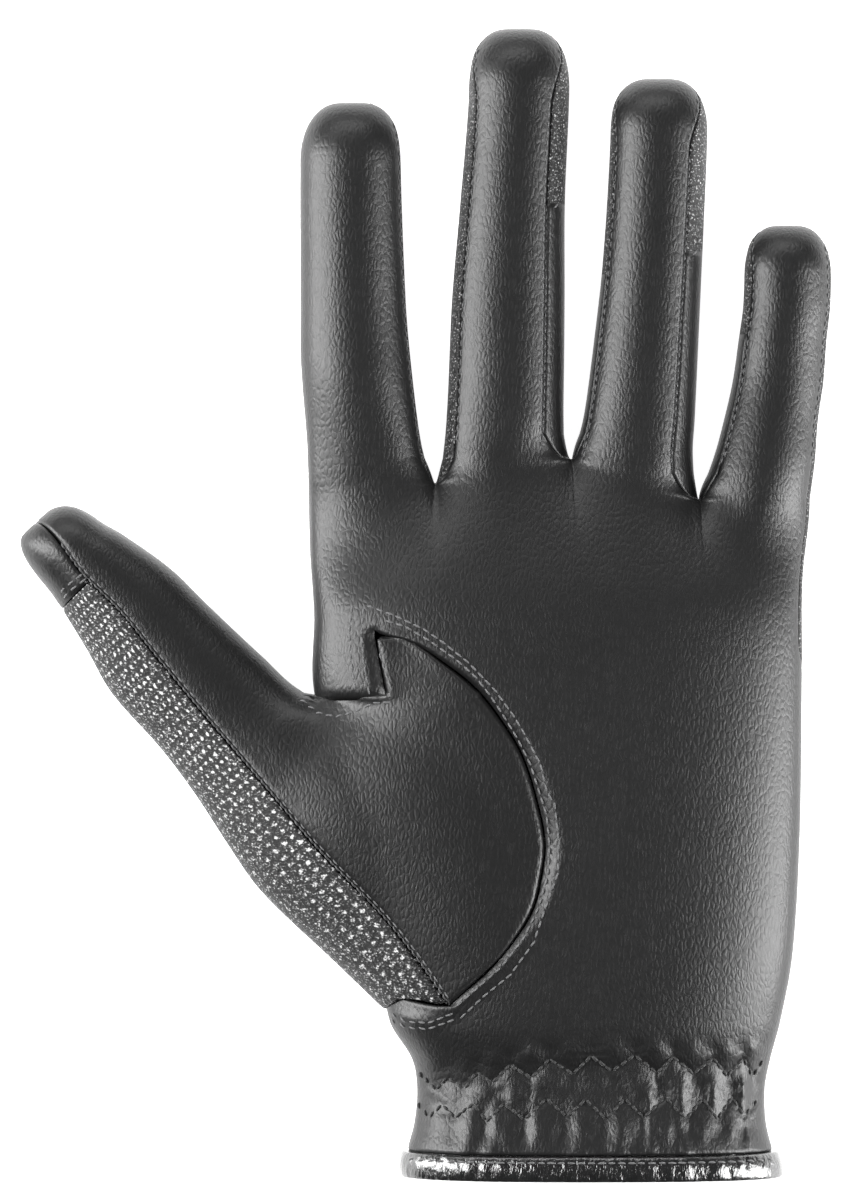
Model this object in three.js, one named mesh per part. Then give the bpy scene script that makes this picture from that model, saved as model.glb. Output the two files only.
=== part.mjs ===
import * as THREE from 'three';

// Horse riding glove for the left hand, palm up, fingers along +Y, thumb towards -X.
// Lengths are in millimetres. The floor is z = 0 and the back of the glove rests on it.

// Leather and seams
const WALL = 1.2;
const SEAM_GAP = 0.4;
const FLATTENED = 0.06;

// Hand
const HAND_WIDTH = 98;
const HAND_LENGTH = 114.8;
const HAND_DEPTH = 27;
const HAND_SIDE_X = 74.2;
const HAND_ROUND = 2.7;
const FINGER_ROUND = 2.2;
const FINGER_POINT = 0.2;
const THUMB_POINT = 0.3;
const KNUCKLE_Y = -6;
const CROTCH_DEPTH = 18;
const WEB_HEIGHT = 9;

// Fingers, from the crotch beside them to the tip
const INDEX = { tip: 99.6, width: 21.4, depth: 17, cap: 12, middle: -15.4 };
const MIDDLE = { tip: 114.4, width: 22, depth: 17.6, cap: 12, middle: 15.6 };
const RING = { tip: 104.4, width: 20.8, depth: 17, cap: 11, middle: 43.3 };
const LITTLE = { tip: 75, width: 18, depth: 15.6, cap: 10, middle: 70.5 };
const CROTCHES = [
  { x: 0.9, y: 23.2 },
  { x: 28.3, y: 28 },
  { x: 53.9, y: 20 },
];

// Height where the sides of the fingers change from leather to mesh
const MESH_BEGINS = { middle: 79, ringLeft: 65, ringRight: 69.5, little: 53 };

// Thumb, whose axis leaves the tip towards the ball of the thumb
const THUMB_TIP = { x: -80.2, y: 14.6 };
const THUMB_LEAN = 46.7;
const THUMB_LENGTH = 126.6;
const THUMB_WIDTH = 30;
const THUMB_DEPTH = 26;
const THUMB_CAP = 10;
const THUMB_CROTCH = 62;
const THUMB_TIP_LEATHER = 16.3;
const THUMB_BLEND = 5;
const THUMB_BASE_SHORT = 1.5;
const THUMB_FOOT_SHORT = 7.5;

// Gathered cuff and bound hem
const CUFF_TOP = -90;
const HEM_TOP = -109.8;
const HEM_Y = -114.8;
const HEM_PROUD = 0.9;
const HEM_THICK = 3;
const HEM_BULGE = 0.35;
const GATHER_RISE = 1.5;

// Seam angles on a section, where 0 is the right side, 90 the front and 180 the left side
const LEATHER_WRAP = 40;
const WRAP_GAP = 1.8;
const BACK_SEAM = 34;
const SIDE_TOP = 12;
const SIDE_BOTTOM = 3;
const SIDE_SEAM = 7;
const SIDE_END = 3;
const SIDE_SEAM_BEGINS = -8;
const SIDE_SEAM_ENDS = -30;
const OUTWARD_FROM = 0.82;

// Facets
const FINGER_COLUMNS = 8;
const QUIRK_COLUMN = 5;
const BACK_COLUMNS = 5;
const FINGER_ROWS = 12;
const ROWS_BELOW_CAP = 0.62;
const ROWS_CROWDED = 1.4;
const THUMB_COLUMNS = 6;
const THUMB_ROWS = 12;
const BALL_ROWS = 5;
const MESH_COLUMNS = 10;
const KNUCKLE_ROWS = 5;
const PALM_ROWS = 14;

// Sections of each finger: at is the share of its length from the lower crotch to the tip,
// shift and wide are shares of its width.
const FINGERS = [
  {
    ...INDEX, left: null, right: CROTCHES[0], root: 23.2, seams: [-1, 0.96],
    sections: [
      { at: 0, shift: 0.15, wide: 1.15 },
      { at: 0.11, shift: 0.1, wide: 1.08 },
      { at: 0.32, shift: 0.025, wide: 1.045 },
      { at: 0.48, shift: 0, wide: 1 },
      { at: 0.85, shift: -0.025, wide: 0.955 },
      { at: 1, shift: -0.015, wide: 0.95 },
    ],
  },
  {
    ...MIDDLE, left: CROTCHES[0], right: CROTCHES[1], root: 23.2, seams: [-0.82, 0.64],
    sections: [
      { at: 0, shift: -0.06, wide: 1.12 },
      { at: 0.18, shift: -0.025, wide: 1.09 },
      { at: 0.4, shift: 0, wide: 1.06 },
      { at: 0.62, shift: 0.04, wide: 0.985 },
      { at: 0.84, shift: 0.095, wide: 0.95 },
      { at: 1, shift: 0.1, wide: 0.95 },
    ],
  },
  {
    ...RING, left: CROTCHES[1], right: CROTCHES[2], root: 20, seams: [-0.88, 0.61],
    sections: [
      { at: 0, shift: -0.14, wide: 1.22 },
      { at: 0.11, shift: -0.115, wide: 1.154 },
      { at: 0.19, shift: -0.07, wide: 1.106 },
      { at: 0.38, shift: 0, wide: 1.04 },
      { at: 0.57, shift: 0.06, wide: 0.99 },
      { at: 0.85, shift: 0.12, wide: 0.97 },
      { at: 1, shift: 0.12, wide: 0.97 },
    ],
  },
  {
    ...LITTLE, left: CROTCHES[2], right: null, root: 20, seams: [-0.83, 0.97],
    sections: [
      { at: 0, shift: -0.31, wide: 1.24 },
      { at: 0.14, shift: -0.21, wide: 1.155 },
      { at: 0.29, shift: -0.13, wide: 1.067 },
      { at: 0.43, shift: -0.05, wide: 1.033 },
      { at: 0.58, shift: 0, wide: 1 },
      { at: 0.72, shift: 0.05, wide: 0.99 },
      { at: 1, shift: 0.06, wide: 0.98 },
    ],
  },
];

// Sections of the hand: at is the share of HAND_LENGTH below y = 0, left and right are shares
// of HAND_WIDTH inwards from its two sides, deep is a share of HAND_DEPTH.
const HAND_SECTIONS = [
  { at: -0.25, left: -0.01, right: 0.02, deep: 0.68 },
  { at: -0.1, left: -0.005, right: 0.01, deep: 0.8 },
  { at: 0.02, left: 0.005, right: 0, deep: 0.92 },
  { at: 0.16, left: 0.005, right: 0, deep: 0.98 },
  { at: 0.42, left: 0.08, right: 0.005, deep: 1.03 },
  { at: 0.62, left: 0.135, right: 0.02, deep: 1.06 },
  { at: 0.735, left: 0.16, right: 0.045, deep: 1.06 },
  { at: 0.8, left: 0.205, right: 0.065, deep: 1.03 },
  { at: 0.85, left: 0.215, right: 0.076, deep: 1.03 },
  { at: 0.91, left: 0.21, right: 0.074, deep: 1.08 },
  { at: 0.96, left: 0.195, right: 0.06, deep: 1.13 },
  { at: 1, left: 0.19, right: 0.05, deep: 1.15 },
];

// Sections of the thumb: at is the share of THUMB_LENGTH from the tip, low, high and seam are
// shares of THUMB_WIDTH to the two sides of the axis, deep is a share of THUMB_DEPTH.
const THUMB_SECTIONS = [
  { at: 0, low: -0.2, high: 0.36, seam: 0.1, deep: 0.58 },
  { at: 0.067, low: -0.2, high: 0.36, seam: 0.063, deep: 0.6 },
  { at: 0.11, low: -0.215, high: 0.41, seam: 0.037, deep: 0.62 },
  { at: 0.2, low: -0.29, high: 0.485, seam: 0.05, deep: 0.65 },
  { at: 0.28, low: -0.37, high: 0.5, seam: 0.023, deep: 0.68 },
  { at: 0.4, low: -0.385, high: 0.53, seam: -0.01, deep: 0.74 },
  { at: 0.49, low: -0.427, high: 0.573, seam: -0.027, deep: 0.8 },
  { at: 0.57, low: -0.487, high: 0.8, seam: -0.043, deep: 0.88 },
  { at: 0.65, low: -0.54, high: 1.07, seam: -0.063, deep: 0.96 },
  { at: 0.71, low: -0.543, high: 1.2, seam: -0.067, deep: 1 },
  { at: 0.83, low: -0.51, high: 1.25, seam: -0.057, deep: 1.04 },
  { at: 0.925, low: -0.49, high: 1.15, seam: -0.09, deep: 1.06 },
  { at: 1, low: -0.47, high: 1, seam: -0.14, deep: 1.06 },
];

// Edge of the leather round the ball of the thumb, seen from the front, from the top of the
// quirk down to the wrist: down is the share of the hole's height, across of its width.
const HOLE = { top: -6.6, bottom: -80.6, left: -11.3, width: 34 };
const HOLE_EDGE = [
  { down: 0, across: 0 },
  { down: 0.025, across: 0.21 },
  { down: 0.09, across: 0.44 },
  { down: 0.15, across: 0.6 },
  { down: 0.23, across: 0.74 },
  { down: 0.33, across: 0.87 },
  { down: 0.48, across: 0.97 },
  { down: 0.57, across: 1 },
  { down: 0.65, across: 0.98 },
  { down: 0.74, across: 0.93 },
  { down: 0.83, across: 0.81 },
  { down: 0.905, across: 0.67 },
  { down: 0.97, across: 0.51 },
  { down: 1, across: 0.44 },
];
const QUIRK = { bottomX: -8.9, bottomY: -19.2, outerY: -19.4 };
const WRIST_STEP = 3.2;
const BACK_SEAM_DROP = 3.5;
const BACK_SEAM_INSET = 2.5;

// Gathers of the cuff: across is the share of the way over the front, wide and lean are
// shares of the hand's width, high of GATHER_RISE, from and to shares of the cuff's height.
const GATHERS = [
  { across: 0.06, wide: 0.016, high: 0.7, lean: -0.01, from: 0.1, to: 0.75 },
  { across: 0.16, wide: 0.018, high: 1, lean: -0.015, from: 0.25, to: 1 },
  { across: 0.23, wide: 0.014, high: 0.8, lean: -0.01, from: 0.3, to: 1 },
  { across: 0.34, wide: 0.016, high: 0.6, lean: 0, from: 0.1, to: 0.7 },
  { across: 0.45, wide: 0.018, high: 0.9, lean: 0.02, from: 0.2, to: 1 },
  { across: 0.57, wide: 0.015, high: 0.9, lean: 0, from: 0.2, to: 0.95 },
  { across: 0.66, wide: 0.014, high: 0.6, lean: 0.005, from: 0.15, to: 0.8 },
  { across: 0.75, wide: 0.014, high: 0.7, lean: 0.01, from: 0.1, to: 0.85 },
  { across: 0.84, wide: 0.014, high: 0.5, lean: 0.01, from: 0.1, to: 0.75 },
  { across: 0.93, wide: 0.014, high: 0.5, lean: 0.01, from: 0.1, to: 0.75 },
];

const mix = (a, b, share) => a + (b - a) * share;
const limit = (value, low, high) => Math.min(high, Math.max(low, value));
const radians = (degrees) => (degrees * Math.PI) / 180;
const power = (value, exponent) => Math.sign(value) * Math.abs(value) ** exponent;

function ease(share) {
  const s = limit(share, 0, 1);
  return s * s * (3 - 2 * s);
}

// Reads one column of a table at a place between its rows, along a smooth curve.
function read(rows, column, place, key = 'at') {
  const last = rows.length - 1;
  let i = 0;
  while (i < last - 1 && place > rows[i + 1][key]) i += 1;
  const slope = (k) => {
    const a = rows[Math.max(0, k - 1)];
    const b = rows[Math.min(last, k + 1)];
    return (b[column] - a[column]) / (b[key] - a[key]);
  };
  const low = rows[i];
  const high = rows[i + 1];
  const step = high[key] - low[key];
  const t = limit((place - low[key]) / step, 0, 1);
  const h = t * t * (3 - 2 * t);
  const into = t * (1 - t) * (1 - t) * step * slope(i);
  const out = t * t * (t - 1) * step * slope(i + 1);
  return mix(low[column], high[column], h) + into + out;
}

// A rounded section that lies flat where it rests. The size inset is how far inside the
// outer face the point is.
function sectionPoint(ring, angle, inset) {
  const half = (ring.right - ring.left) / 2 - inset;
  const rise = ring.rise - inset;
  const flow = 2 / ring.round;
  const x = (ring.right + ring.left) / 2 + half * power(Math.cos(angle), flow);
  const z = ring.level + rise * power(Math.sin(angle), flow);
  return { x, z: Math.max(z, inset) };
}

function sectionAngle(ring, x) {
  const half = (ring.right - ring.left) / 2;
  const share = limit((x - (ring.right + ring.left) / 2) / half, -1, 1);
  return Math.acos(power(share, ring.round / 2));
}

function sectionHeight(ring, x, inset) {
  const half = (ring.right - ring.left) / 2 - inset;
  const share = Math.abs(x - (ring.right + ring.left) / 2) / half;
  if (share >= 1) return ring.level - (share - 1) * half;
  return ring.level + (ring.rise - inset) * (1 - share ** ring.round) ** (1 / ring.round);
}

function lying(depth) {
  return { level: depth * (0.5 - FLATTENED / 2), rise: depth * (0.5 + FLATTENED / 2) };
}

function handRing(y) {
  const at = -y / HAND_LENGTH;
  const left = HAND_SIDE_X - HAND_WIDTH + HAND_WIDTH * read(HAND_SECTIONS, 'left', at);
  const right = HAND_SIDE_X - HAND_WIDTH * read(HAND_SECTIONS, 'right', at);
  return { left, right, round: HAND_ROUND, ...lying(HAND_DEPTH * read(HAND_SECTIONS, 'deep', at)) };
}

// Rounds the end of a finger over the length of its cap.
function capShare(left, cap) {
  if (left >= cap) return 1;
  return (1 - (1 - Math.max(left, 0) / cap) ** FINGER_ROUND) ** (1 / FINGER_ROUND);
}

function fingerRing(finger, y, inset) {
  const at = (y - finger.root) / (finger.tip - finger.root);
  const cap = capShare(finger.tip - inset - y, finger.cap - inset);
  const half = (finger.width / 2) * read(finger.sections, 'wide', at) * mix(FINGER_POINT, 1, cap);
  const mid = finger.middle + finger.width * read(finger.sections, 'shift', at);
  const depth = mix(CROTCH_DEPTH, finger.depth, ease(at * 2));
  const flat = lying(depth);
  return {
    left: mid - half,
    right: mid + half,
    round: FINGER_ROUND,
    level: flat.level,
    rise: Math.max(flat.rise * cap, inset + 0.05),
    cap,
  };
}

// Draws a point beside a crotch in to the middle of the crotch.
function drawIn(point, crotch, weight, height) {
  if (!crotch) return point;
  const share = limit((point.y - crotch.y) / WEB_HEIGHT, 0, 1);
  const pull = (1 - Math.sqrt(share)) * weight;
  return { x: mix(point.x, crotch.x, pull), y: point.y, z: mix(point.z, height, pull) };
}

// Spreads rows so that they are close together at a crotch and over the cap of the tip.
function fingerY(finger, base, share, inset) {
  const capFrom = finger.tip - finger.cap;
  const turn = ROWS_BELOW_CAP;
  if (share < turn) return base + (capFrom - base) * (share / turn) ** ROWS_CROWDED;
  const swing = ((share - turn) / (1 - turn)) * (Math.PI / 2);
  return capFrom + (finger.cap - inset) * Math.sin(swing);
}

function frontAngles(finger, y) {
  const at = (y - finger.root) / (finger.tip - finger.root);
  const outward = ease((at - OUTWARD_FROM) / (1 - OUTWARD_FROM));
  const ring = { left: -1, right: 1, round: FINGER_ROUND };
  const wrap = mix(Math.PI + radians(LEATHER_WRAP), Math.PI, outward);
  const left = finger.left ? sectionAngle(ring, mix(finger.seams[0], -1, outward)) : wrap;
  return { left, right: sectionAngle(ring, mix(finger.seams[1], 1, outward)) };
}

function pulledBack(angle, towards, ring) {
  const radius = Math.max((ring.right - ring.left) / 2, 1);
  return angle + (towards * SEAM_GAP) / 2 / radius;
}

function fingerFront(finger, share, along, inset) {
  const base = mix((finger.left || finger.right).y, (finger.right || finger.left).y, share);
  const y = fingerY(finger, base, along, inset);
  const ring = fingerRing(finger, y, inset);
  const seams = frontAngles(finger, y);
  const left = pulledBack(seams.left, -1, ring);
  const right = pulledBack(seams.right, 1, ring);
  const at = sectionPoint(ring, mix(left, right, share), inset);
  const lift = (SEAM_GAP / 2) * (1 - ring.cap);
  let point = { x: at.x, y, z: at.z + lift };
  const leftWeight = Math.max(0, 1 - 2 * share) ** 2;
  const rightWeight = Math.max(0, 2 * share - 1) ** 2;
  point = drawIn(point, finger.left, leftWeight, SIDE_TOP - inset / 2);
  point = drawIn(point, finger.right, rightWeight, SIDE_TOP - inset / 2);
  return point;
}

function thumbPlace(station, across) {
  const cos = Math.cos(radians(THUMB_LEAN));
  const sin = Math.sin(radians(THUMB_LEAN));
  const x = THUMB_TIP.x + station * cos + across * sin;
  const y = THUMB_TIP.y - station * sin + across * cos;
  return { x, y };
}

function thumbStation(x, y) {
  const cos = Math.cos(radians(THUMB_LEAN));
  const sin = Math.sin(radians(THUMB_LEAN));
  const station = (x - THUMB_TIP.x) * cos - (y - THUMB_TIP.y) * sin;
  const across = (x - THUMB_TIP.x) * sin + (y - THUMB_TIP.y) * cos;
  return { station, across };
}

function thumbRing(station, inset) {
  const at = station / THUMB_LENGTH;
  const cap = capShare(station - inset, THUMB_CAP - inset);
  const size = mix(THUMB_POINT, 1, cap) * THUMB_WIDTH;
  const flat = lying(THUMB_DEPTH * read(THUMB_SECTIONS, 'deep', at));
  return {
    left: size * read(THUMB_SECTIONS, 'low', at),
    right: size * read(THUMB_SECTIONS, 'high', at),
    seam: size * read(THUMB_SECTIONS, 'seam', at),
    round: FINGER_ROUND,
    level: flat.level,
    rise: Math.max(flat.rise * cap, inset + 0.05),
  };
}

// Height of the front of hand and thumb together, with a soft valley where they meet.
function frontHeight(x, y, inset) {
  const hand = sectionHeight(handRing(y), x, inset);
  const { station, across } = thumbStation(x, y);
  const ring = thumbRing(Math.max(station, THUMB_CAP), inset);
  const past = Math.max(0, station - THUMB_LENGTH);
  const thumb = sectionHeight(ring, across, inset) - past;
  const apart = hand - thumb;
  const soft = Math.max(0, THUMB_BLEND - Math.abs(apart)) / THUMB_BLEND;
  return Math.max(hand, thumb) + (soft * soft * THUMB_BLEND) / 4;
}

function gatherRise(x, y, ring) {
  const height = (y - HEM_Y) / (CUFF_TOP - HEM_Y);
  if (height <= 0 || height >= 1) return 0;
  const across = (x - ring.left) / (ring.right - ring.left);
  const bounds = ease(height * 8) * ease((1 - height) * 8);
  let rise = 0;
  for (const fold of GATHERS) {
    const down = 1 - height;
    const reach = ease((down - fold.from) * 6) * ease((fold.to - down) * 6 + 0.5);
    const away = across - fold.across - fold.lean * down;
    rise += fold.high * reach * Math.exp(-((away / fold.wide) ** 2));
  }
  return GATHER_RISE * (rise - 0.3) * bounds;
}

// A point on the front of the hand at an angle of its section.
function handPoint(angle, y, inset) {
  const ring = handRing(y);
  const at = sectionPoint(ring, angle, inset);
  const upper = ease(Math.sin(angle) * 3);
  const x = mix(at.x, sectionPoint(ring, angle, 0).x, upper);
  const front = Math.max(frontHeight(x, y, inset), inset);
  return { x, y, z: mix(at.z, front, upper) + gatherRise(x, y, ring) * upper };
}

function wrapLeft() {
  return Math.PI + radians(LEATHER_WRAP);
}

function sideSeam(y) {
  const turned = ease((SIDE_SEAM_BEGINS - y) / (SIDE_SEAM_BEGINS - SIDE_SEAM_ENDS));
  return mix(radians(SIDE_SEAM), radians(-LEATHER_WRAP), turned);
}

// Left edge of the leather below the knuckles: round the ball of the thumb, then at the wrist.
function holeX(y) {
  const down = (HOLE.top - y) / (HOLE.top - HOLE.bottom);
  return HOLE.left + HOLE.width * read(HOLE_EDGE, 'across', limit(down, 0, 1), 'down');
}

// The same edge for the piece that lies inside it, drawn in by the gap of the seam.
function ballX(y) {
  return Math.min(holeX(y - SEAM_GAP), holeX(y + SEAM_GAP)) - SEAM_GAP;
}

function quirkX(y) {
  const down = limit((HOLE.top - y) / (HOLE.top - QUIRK.bottomY), 0, 1);
  return mix(HOLE.left, QUIRK.bottomX, down);
}

// The angle of a column of the leather, counted in facets from the left.
const LEATHER_COLUMNS = FINGERS.length * FINGER_COLUMNS;

function columnAngle(column, y, edgeX) {
  const ring = handRing(y);
  const edge = sectionAngle(ring, edgeX);
  const right = sideSeam(y);
  if (column <= QUIRK_COLUMN) return mix(wrapLeft(), edge, column / QUIRK_COLUMN);
  const knuckle = handRing(KNUCKLE_Y);
  const stops = [sectionAngle(knuckle, HOLE.left)];
  for (const crotch of CROTCHES) stops.push(sectionAngle(knuckle, crotch.x));
  stops.push(sideSeam(KNUCKLE_Y));
  const finger = Math.min(Math.floor(column / FINGER_COLUMNS), FINGERS.length - 1);
  const from = finger === 0 ? QUIRK_COLUMN : finger * FINGER_COLUMNS;
  const to = (finger + 1) * FINGER_COLUMNS;
  const nominal = mix(stops[finger], stops[finger + 1], (column - from) / (to - from));
  const share = (nominal - stops[0]) / (stops[FINGERS.length] - stops[0]);
  return mix(edge, right, share);
}

// Leather between the knuckle line and the foot of one finger.
function knuckleFront(index, share, along, inset) {
  const top = fingerFront(FINGERS[index], share, 0, inset);
  const y = mix(KNUCKLE_Y, top.y, along);
  const column = (index + share) * FINGER_COLUMNS;
  const low = handPoint(columnAngle(column, y, HOLE.left), y, inset);
  const sideways = ease(along);
  const upward = along ** 2.5;
  return { x: mix(low.x, top.x, sideways), y, z: mix(low.z, top.z, upward) };
}

function quirkStrip(share, along, inset) {
  const column = share * QUIRK_COLUMN;
  const bottom = mix(QUIRK.outerY, QUIRK.bottomY, share) + 1.2 * SEAM_GAP;
  const y = mix(bottom, KNUCKLE_Y, along);
  const edge = quirkX(y) - (SEAM_GAP / 2) * ease((KNUCKLE_Y - y) / 2);
  return handPoint(columnAngle(column, y, edge), y, inset);
}

function palmMain(share, along, inset) {
  const column = mix(QUIRK_COLUMN, LEATHER_COLUMNS, share);
  const y = mix(HOLE.bottom, KNUCKLE_Y, along);
  const edge = holeX(y) + (SEAM_GAP / 2) * ease((KNUCKLE_Y - y) / 2);
  return handPoint(columnAngle(column, y, edge), y, inset);
}

function wristFront(share, along, inset) {
  const column = share * LEATHER_COLUMNS;
  const under = limit(1 - column / QUIRK_COLUMN, 0, 1);
  const top = HOLE.bottom - WRIST_STEP * ease(under * 3);
  const low = HEM_TOP + SEAM_GAP / 2;
  const y = mix(low, top, along);
  const edge = holeX(HOLE.bottom) + SEAM_GAP / 2;
  return handPoint(columnAngle(column, y, edge), y, inset);
}

function fingerBack(finger, share, along, inset) {
  const base = mix((finger.left || finger.right).y, (finger.right || finger.left).y, share);
  const y = fingerY(finger, base, along, inset);
  const ring = fingerRing(finger, y, inset);
  const at = (y - finger.root) / (finger.tip - finger.root);
  const outward = ease((at - OUTWARD_FROM) / (1 - OUTWARD_FROM));
  const seams = frontAngles(finger, y);
  const seam = radians(mix(BACK_SEAM, 0, outward));
  const left = pulledBack(finger.left ? Math.PI + seam : seams.left, 1, ring);
  const rightSeam = finger.right ? 2 * Math.PI - seam : 2 * Math.PI + seams.right;
  const right = pulledBack(rightSeam, -1, ring);
  const place = sectionPoint(ring, mix(left, right, share), inset);
  const drop = (SEAM_GAP / 2) * (1 - ring.cap);
  let point = { x: place.x, y, z: Math.max(place.z - drop, inset) };
  const foot = Math.max(SIDE_BOTTOM - SEAM_GAP, inset);
  point = drawIn(point, finger.left, Math.max(0, 1 - 2 * share) ** 2, foot);
  point = drawIn(point, finger.right, Math.max(0, 2 * share - 1) ** 2, foot);
  return point;
}

// The line on the back where the thumb's outer side meets the back of the hand.
function backSeamTop() {
  const ring = thumbRing(THUMB_CROTCH, 0);
  return thumbPlace(THUMB_CROTCH, sectionPoint(ring, thumbOuterEnd(), 0).x);
}

function backSeamFoot() {
  const y = HOLE.bottom - BACK_SEAM_DROP;
  return { x: handRing(y).left + BACK_SEAM_INSET, y };
}

function backEdgeX(y) {
  const top = backSeamTop();
  const foot = backSeamFoot();
  return mix(top.x, foot.x, limit((top.y - y) / (top.y - foot.y), 0, 1)) + 1.5 * SEAM_GAP;
}

function backPoint(share, y, inset) {
  const ring = handRing(y);
  const right = 2 * Math.PI + sideSeam(y) - radians(1.5 * WRAP_GAP);
  const left = wrapLeft() + radians(WRAP_GAP);
  const wrapped = sectionPoint(ring, mix(left, right, share), inset);
  const crotchY = backSeamTop().y;
  const opened = ease((crotchY - y) / 3) * ease((y - (CUFF_TOP + 2)) / 5);
  const corner = sectionPoint(ring, left, inset).x;
  const reach = (backEdgeX(y) - corner) * opened * Math.max(0, 1 - 2 * share);
  const flat = mix(wrapped.z, inset, opened * Math.max(0, 1 - 4 * share));
  return { x: wrapped.x + reach, y, z: flat };
}

function knuckleBack(index, share, along, inset) {
  const top = fingerBack(FINGERS[index], share, 0, inset);
  const y = mix(KNUCKLE_Y, top.y, along);
  const low = backPoint((index + share) / FINGERS.length, y, inset);
  const blend = ease(along);
  return { x: mix(low.x, top.x, blend), y, z: mix(low.z, top.z, along ** 2) };
}

function handBack(share, along, inset) {
  return backPoint(share, mix(HOLE.bottom, KNUCKLE_Y, along), inset);
}

function wristBack(share, along, inset) {
  return backPoint(share, mix(CUFF_TOP + SEAM_GAP / 2, HOLE.bottom, along), inset);
}

function cuffBackPoint(share, along, inset) {
  const y = mix(HEM_TOP + SEAM_GAP / 2, CUFF_TOP - SEAM_GAP / 2, along);
  return backPoint(share, y, inset);
}

function hemPoint(share, along, inset) {
  const y = mix(HEM_Y, HEM_TOP - SEAM_GAP / 2, along);
  const outset = mix(-HEM_PROUD, HEM_THICK - HEM_PROUD, inset / WALL);
  const bulge = HEM_BULGE * Math.sin(along * Math.PI);
  const at = sectionPoint(handRing(y), -share * 2 * Math.PI, outset - bulge * (1 - inset / WALL));
  return { x: at.x, y, z: Math.max(at.z, 0) };
}

// One side of a finger between the front seam and the back seam.
function fingerSide(finger, side, share, y, inset) {
  const crotch = side > 0 ? finger.right : finger.left;
  const ring = fingerRing(finger, y, 0);
  const at = (y - finger.root) / (finger.tip - finger.root);
  const outward = ease((at - OUTWARD_FROM) / (1 - OUTWARD_FROM));
  const seams = frontAngles(finger, y);
  const back = radians(mix(BACK_SEAM, 0, outward));
  const gap = SEAM_GAP / Math.max(ring.right - ring.left, 2);
  const front = side > 0 ? seams.right - gap : Math.PI - (seams.left + gap);
  const angle = mix(-back + gap, front, share);
  const place = sectionPoint(ring, side > 0 ? angle : Math.PI - angle, inset);
  const height = mix(SIDE_BOTTOM, SIDE_TOP - 1.5 * WALL, share);
  const point = drawIn({ x: place.x, y, z: Math.max(place.z, inset) }, crotch, 1, height);
  const web = limit((y - crotch.y) / WEB_HEIGHT, 0, 1);
  point.y -= inset * (1 - Math.sqrt(web));
  return point;
}

// Front of the thumb, from the seam to the round upper edge and over it.
function thumbShaft(fromAngle, toAngle, low, high) {
  return (share, along, inset) => {
    const station = mix(low, high, along) + inset * (1 - ease(mix(low, high, along) / 6));
    const ring = thumbRing(station, inset);
    const angle = mix(fromAngle(ring), toAngle(ring), share);
    const at = sectionPoint(ring, angle, inset);
    const place = thumbPlace(station, at.x);
    return { ...place, z: at.z };
  };
}

// Where the edge of the ball of the thumb turns: along the crotch seam, across the foot of the
// tongue beside the quirk, then round the ball.
const CROTCH_SHARE = 0.18;
const TONGUE_SHARE = 0.36;

function ballEdge(share) {
  const crotch = thumbPlace(THUMB_CROTCH, thumbRing(THUMB_CROTCH, 0).right);
  const footY = QUIRK.bottomY - SEAM_GAP / 2;
  if (share < CROTCH_SHARE) {
    const s = share / CROTCH_SHARE;
    return { x: mix(crotch.x, QUIRK.bottomX + SEAM_GAP, s), y: mix(crotch.y, footY, s) };
  }
  if (share < TONGUE_SHARE) {
    const s = (share - CROTCH_SHARE) / (TONGUE_SHARE - CROTCH_SHARE);
    return { x: mix(QUIRK.bottomX + SEAM_GAP, ballX(footY), s), y: footY };
  }
  const s = (share - TONGUE_SHARE) / (1 - TONGUE_SHARE);
  const y = mix(footY, HOLE.bottom, s);
  return { x: ballX(y), y };
}

function ballPoint(share, along, inset) {
  const edge = ballEdge(along);
  const early = (along / TONGUE_SHARE) * 0.3;
  const start = along < TONGUE_SHARE ? early : mix(0.3, 1, (along - TONGUE_SHARE) / (1 - TONGUE_SHARE));
  const ring = thumbRing(mix(THUMB_CROTCH, THUMB_LENGTH, start), 0);
  const seam = thumbPlace(mix(THUMB_CROTCH, THUMB_LENGTH, start), ring.seam + SEAM_GAP / 2);
  const first = ballFirstRow(share, inset);
  const settle = ease(along / 0.12);
  const x = mix(first.x, mix(seam.x, edge.x, share), settle);
  const y = mix(first.y, mix(seam.y, edge.y, share), settle);
  return { x, y, z: mix(first.z, frontHeight(x, y, inset), settle) };
}

function ballPatch(rows, from, to) {
  return patch(THUMB_COLUMNS, rows, (u, v, inset) => ballPoint(u, mix(from, to, v), inset));
}

// The pointed tongue between the quirk and the top of the ball's edge.
function tonguePoint(share, along, inset) {
  const foot = ballEdge(mix(CROTCH_SHARE, TONGUE_SHARE, share));
  const y = mix(foot.y, HOLE.top - 4 * SEAM_GAP, along);
  const left = quirkX(y) + SEAM_GAP;
  const right = ballX(y);
  const x = along > 0.99 ? mix(left, right, 0.5) : mix(left, Math.max(right, left), share);
  const side = mix(foot.x, x, Math.min(along * 8, 1));
  return { x: side, y, z: frontHeight(side, y, inset) };
}

// The row that the ball of the thumb shares with the shaft of the thumb.
function ballFirstRow(share, inset) {
  const ring = thumbRing(THUMB_CROTCH, inset);
  const at = sectionPoint(ring, mix(seamFront(ring), 0, share), inset);
  return { ...thumbPlace(THUMB_CROTCH, at.x), z: at.z };
}

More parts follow.
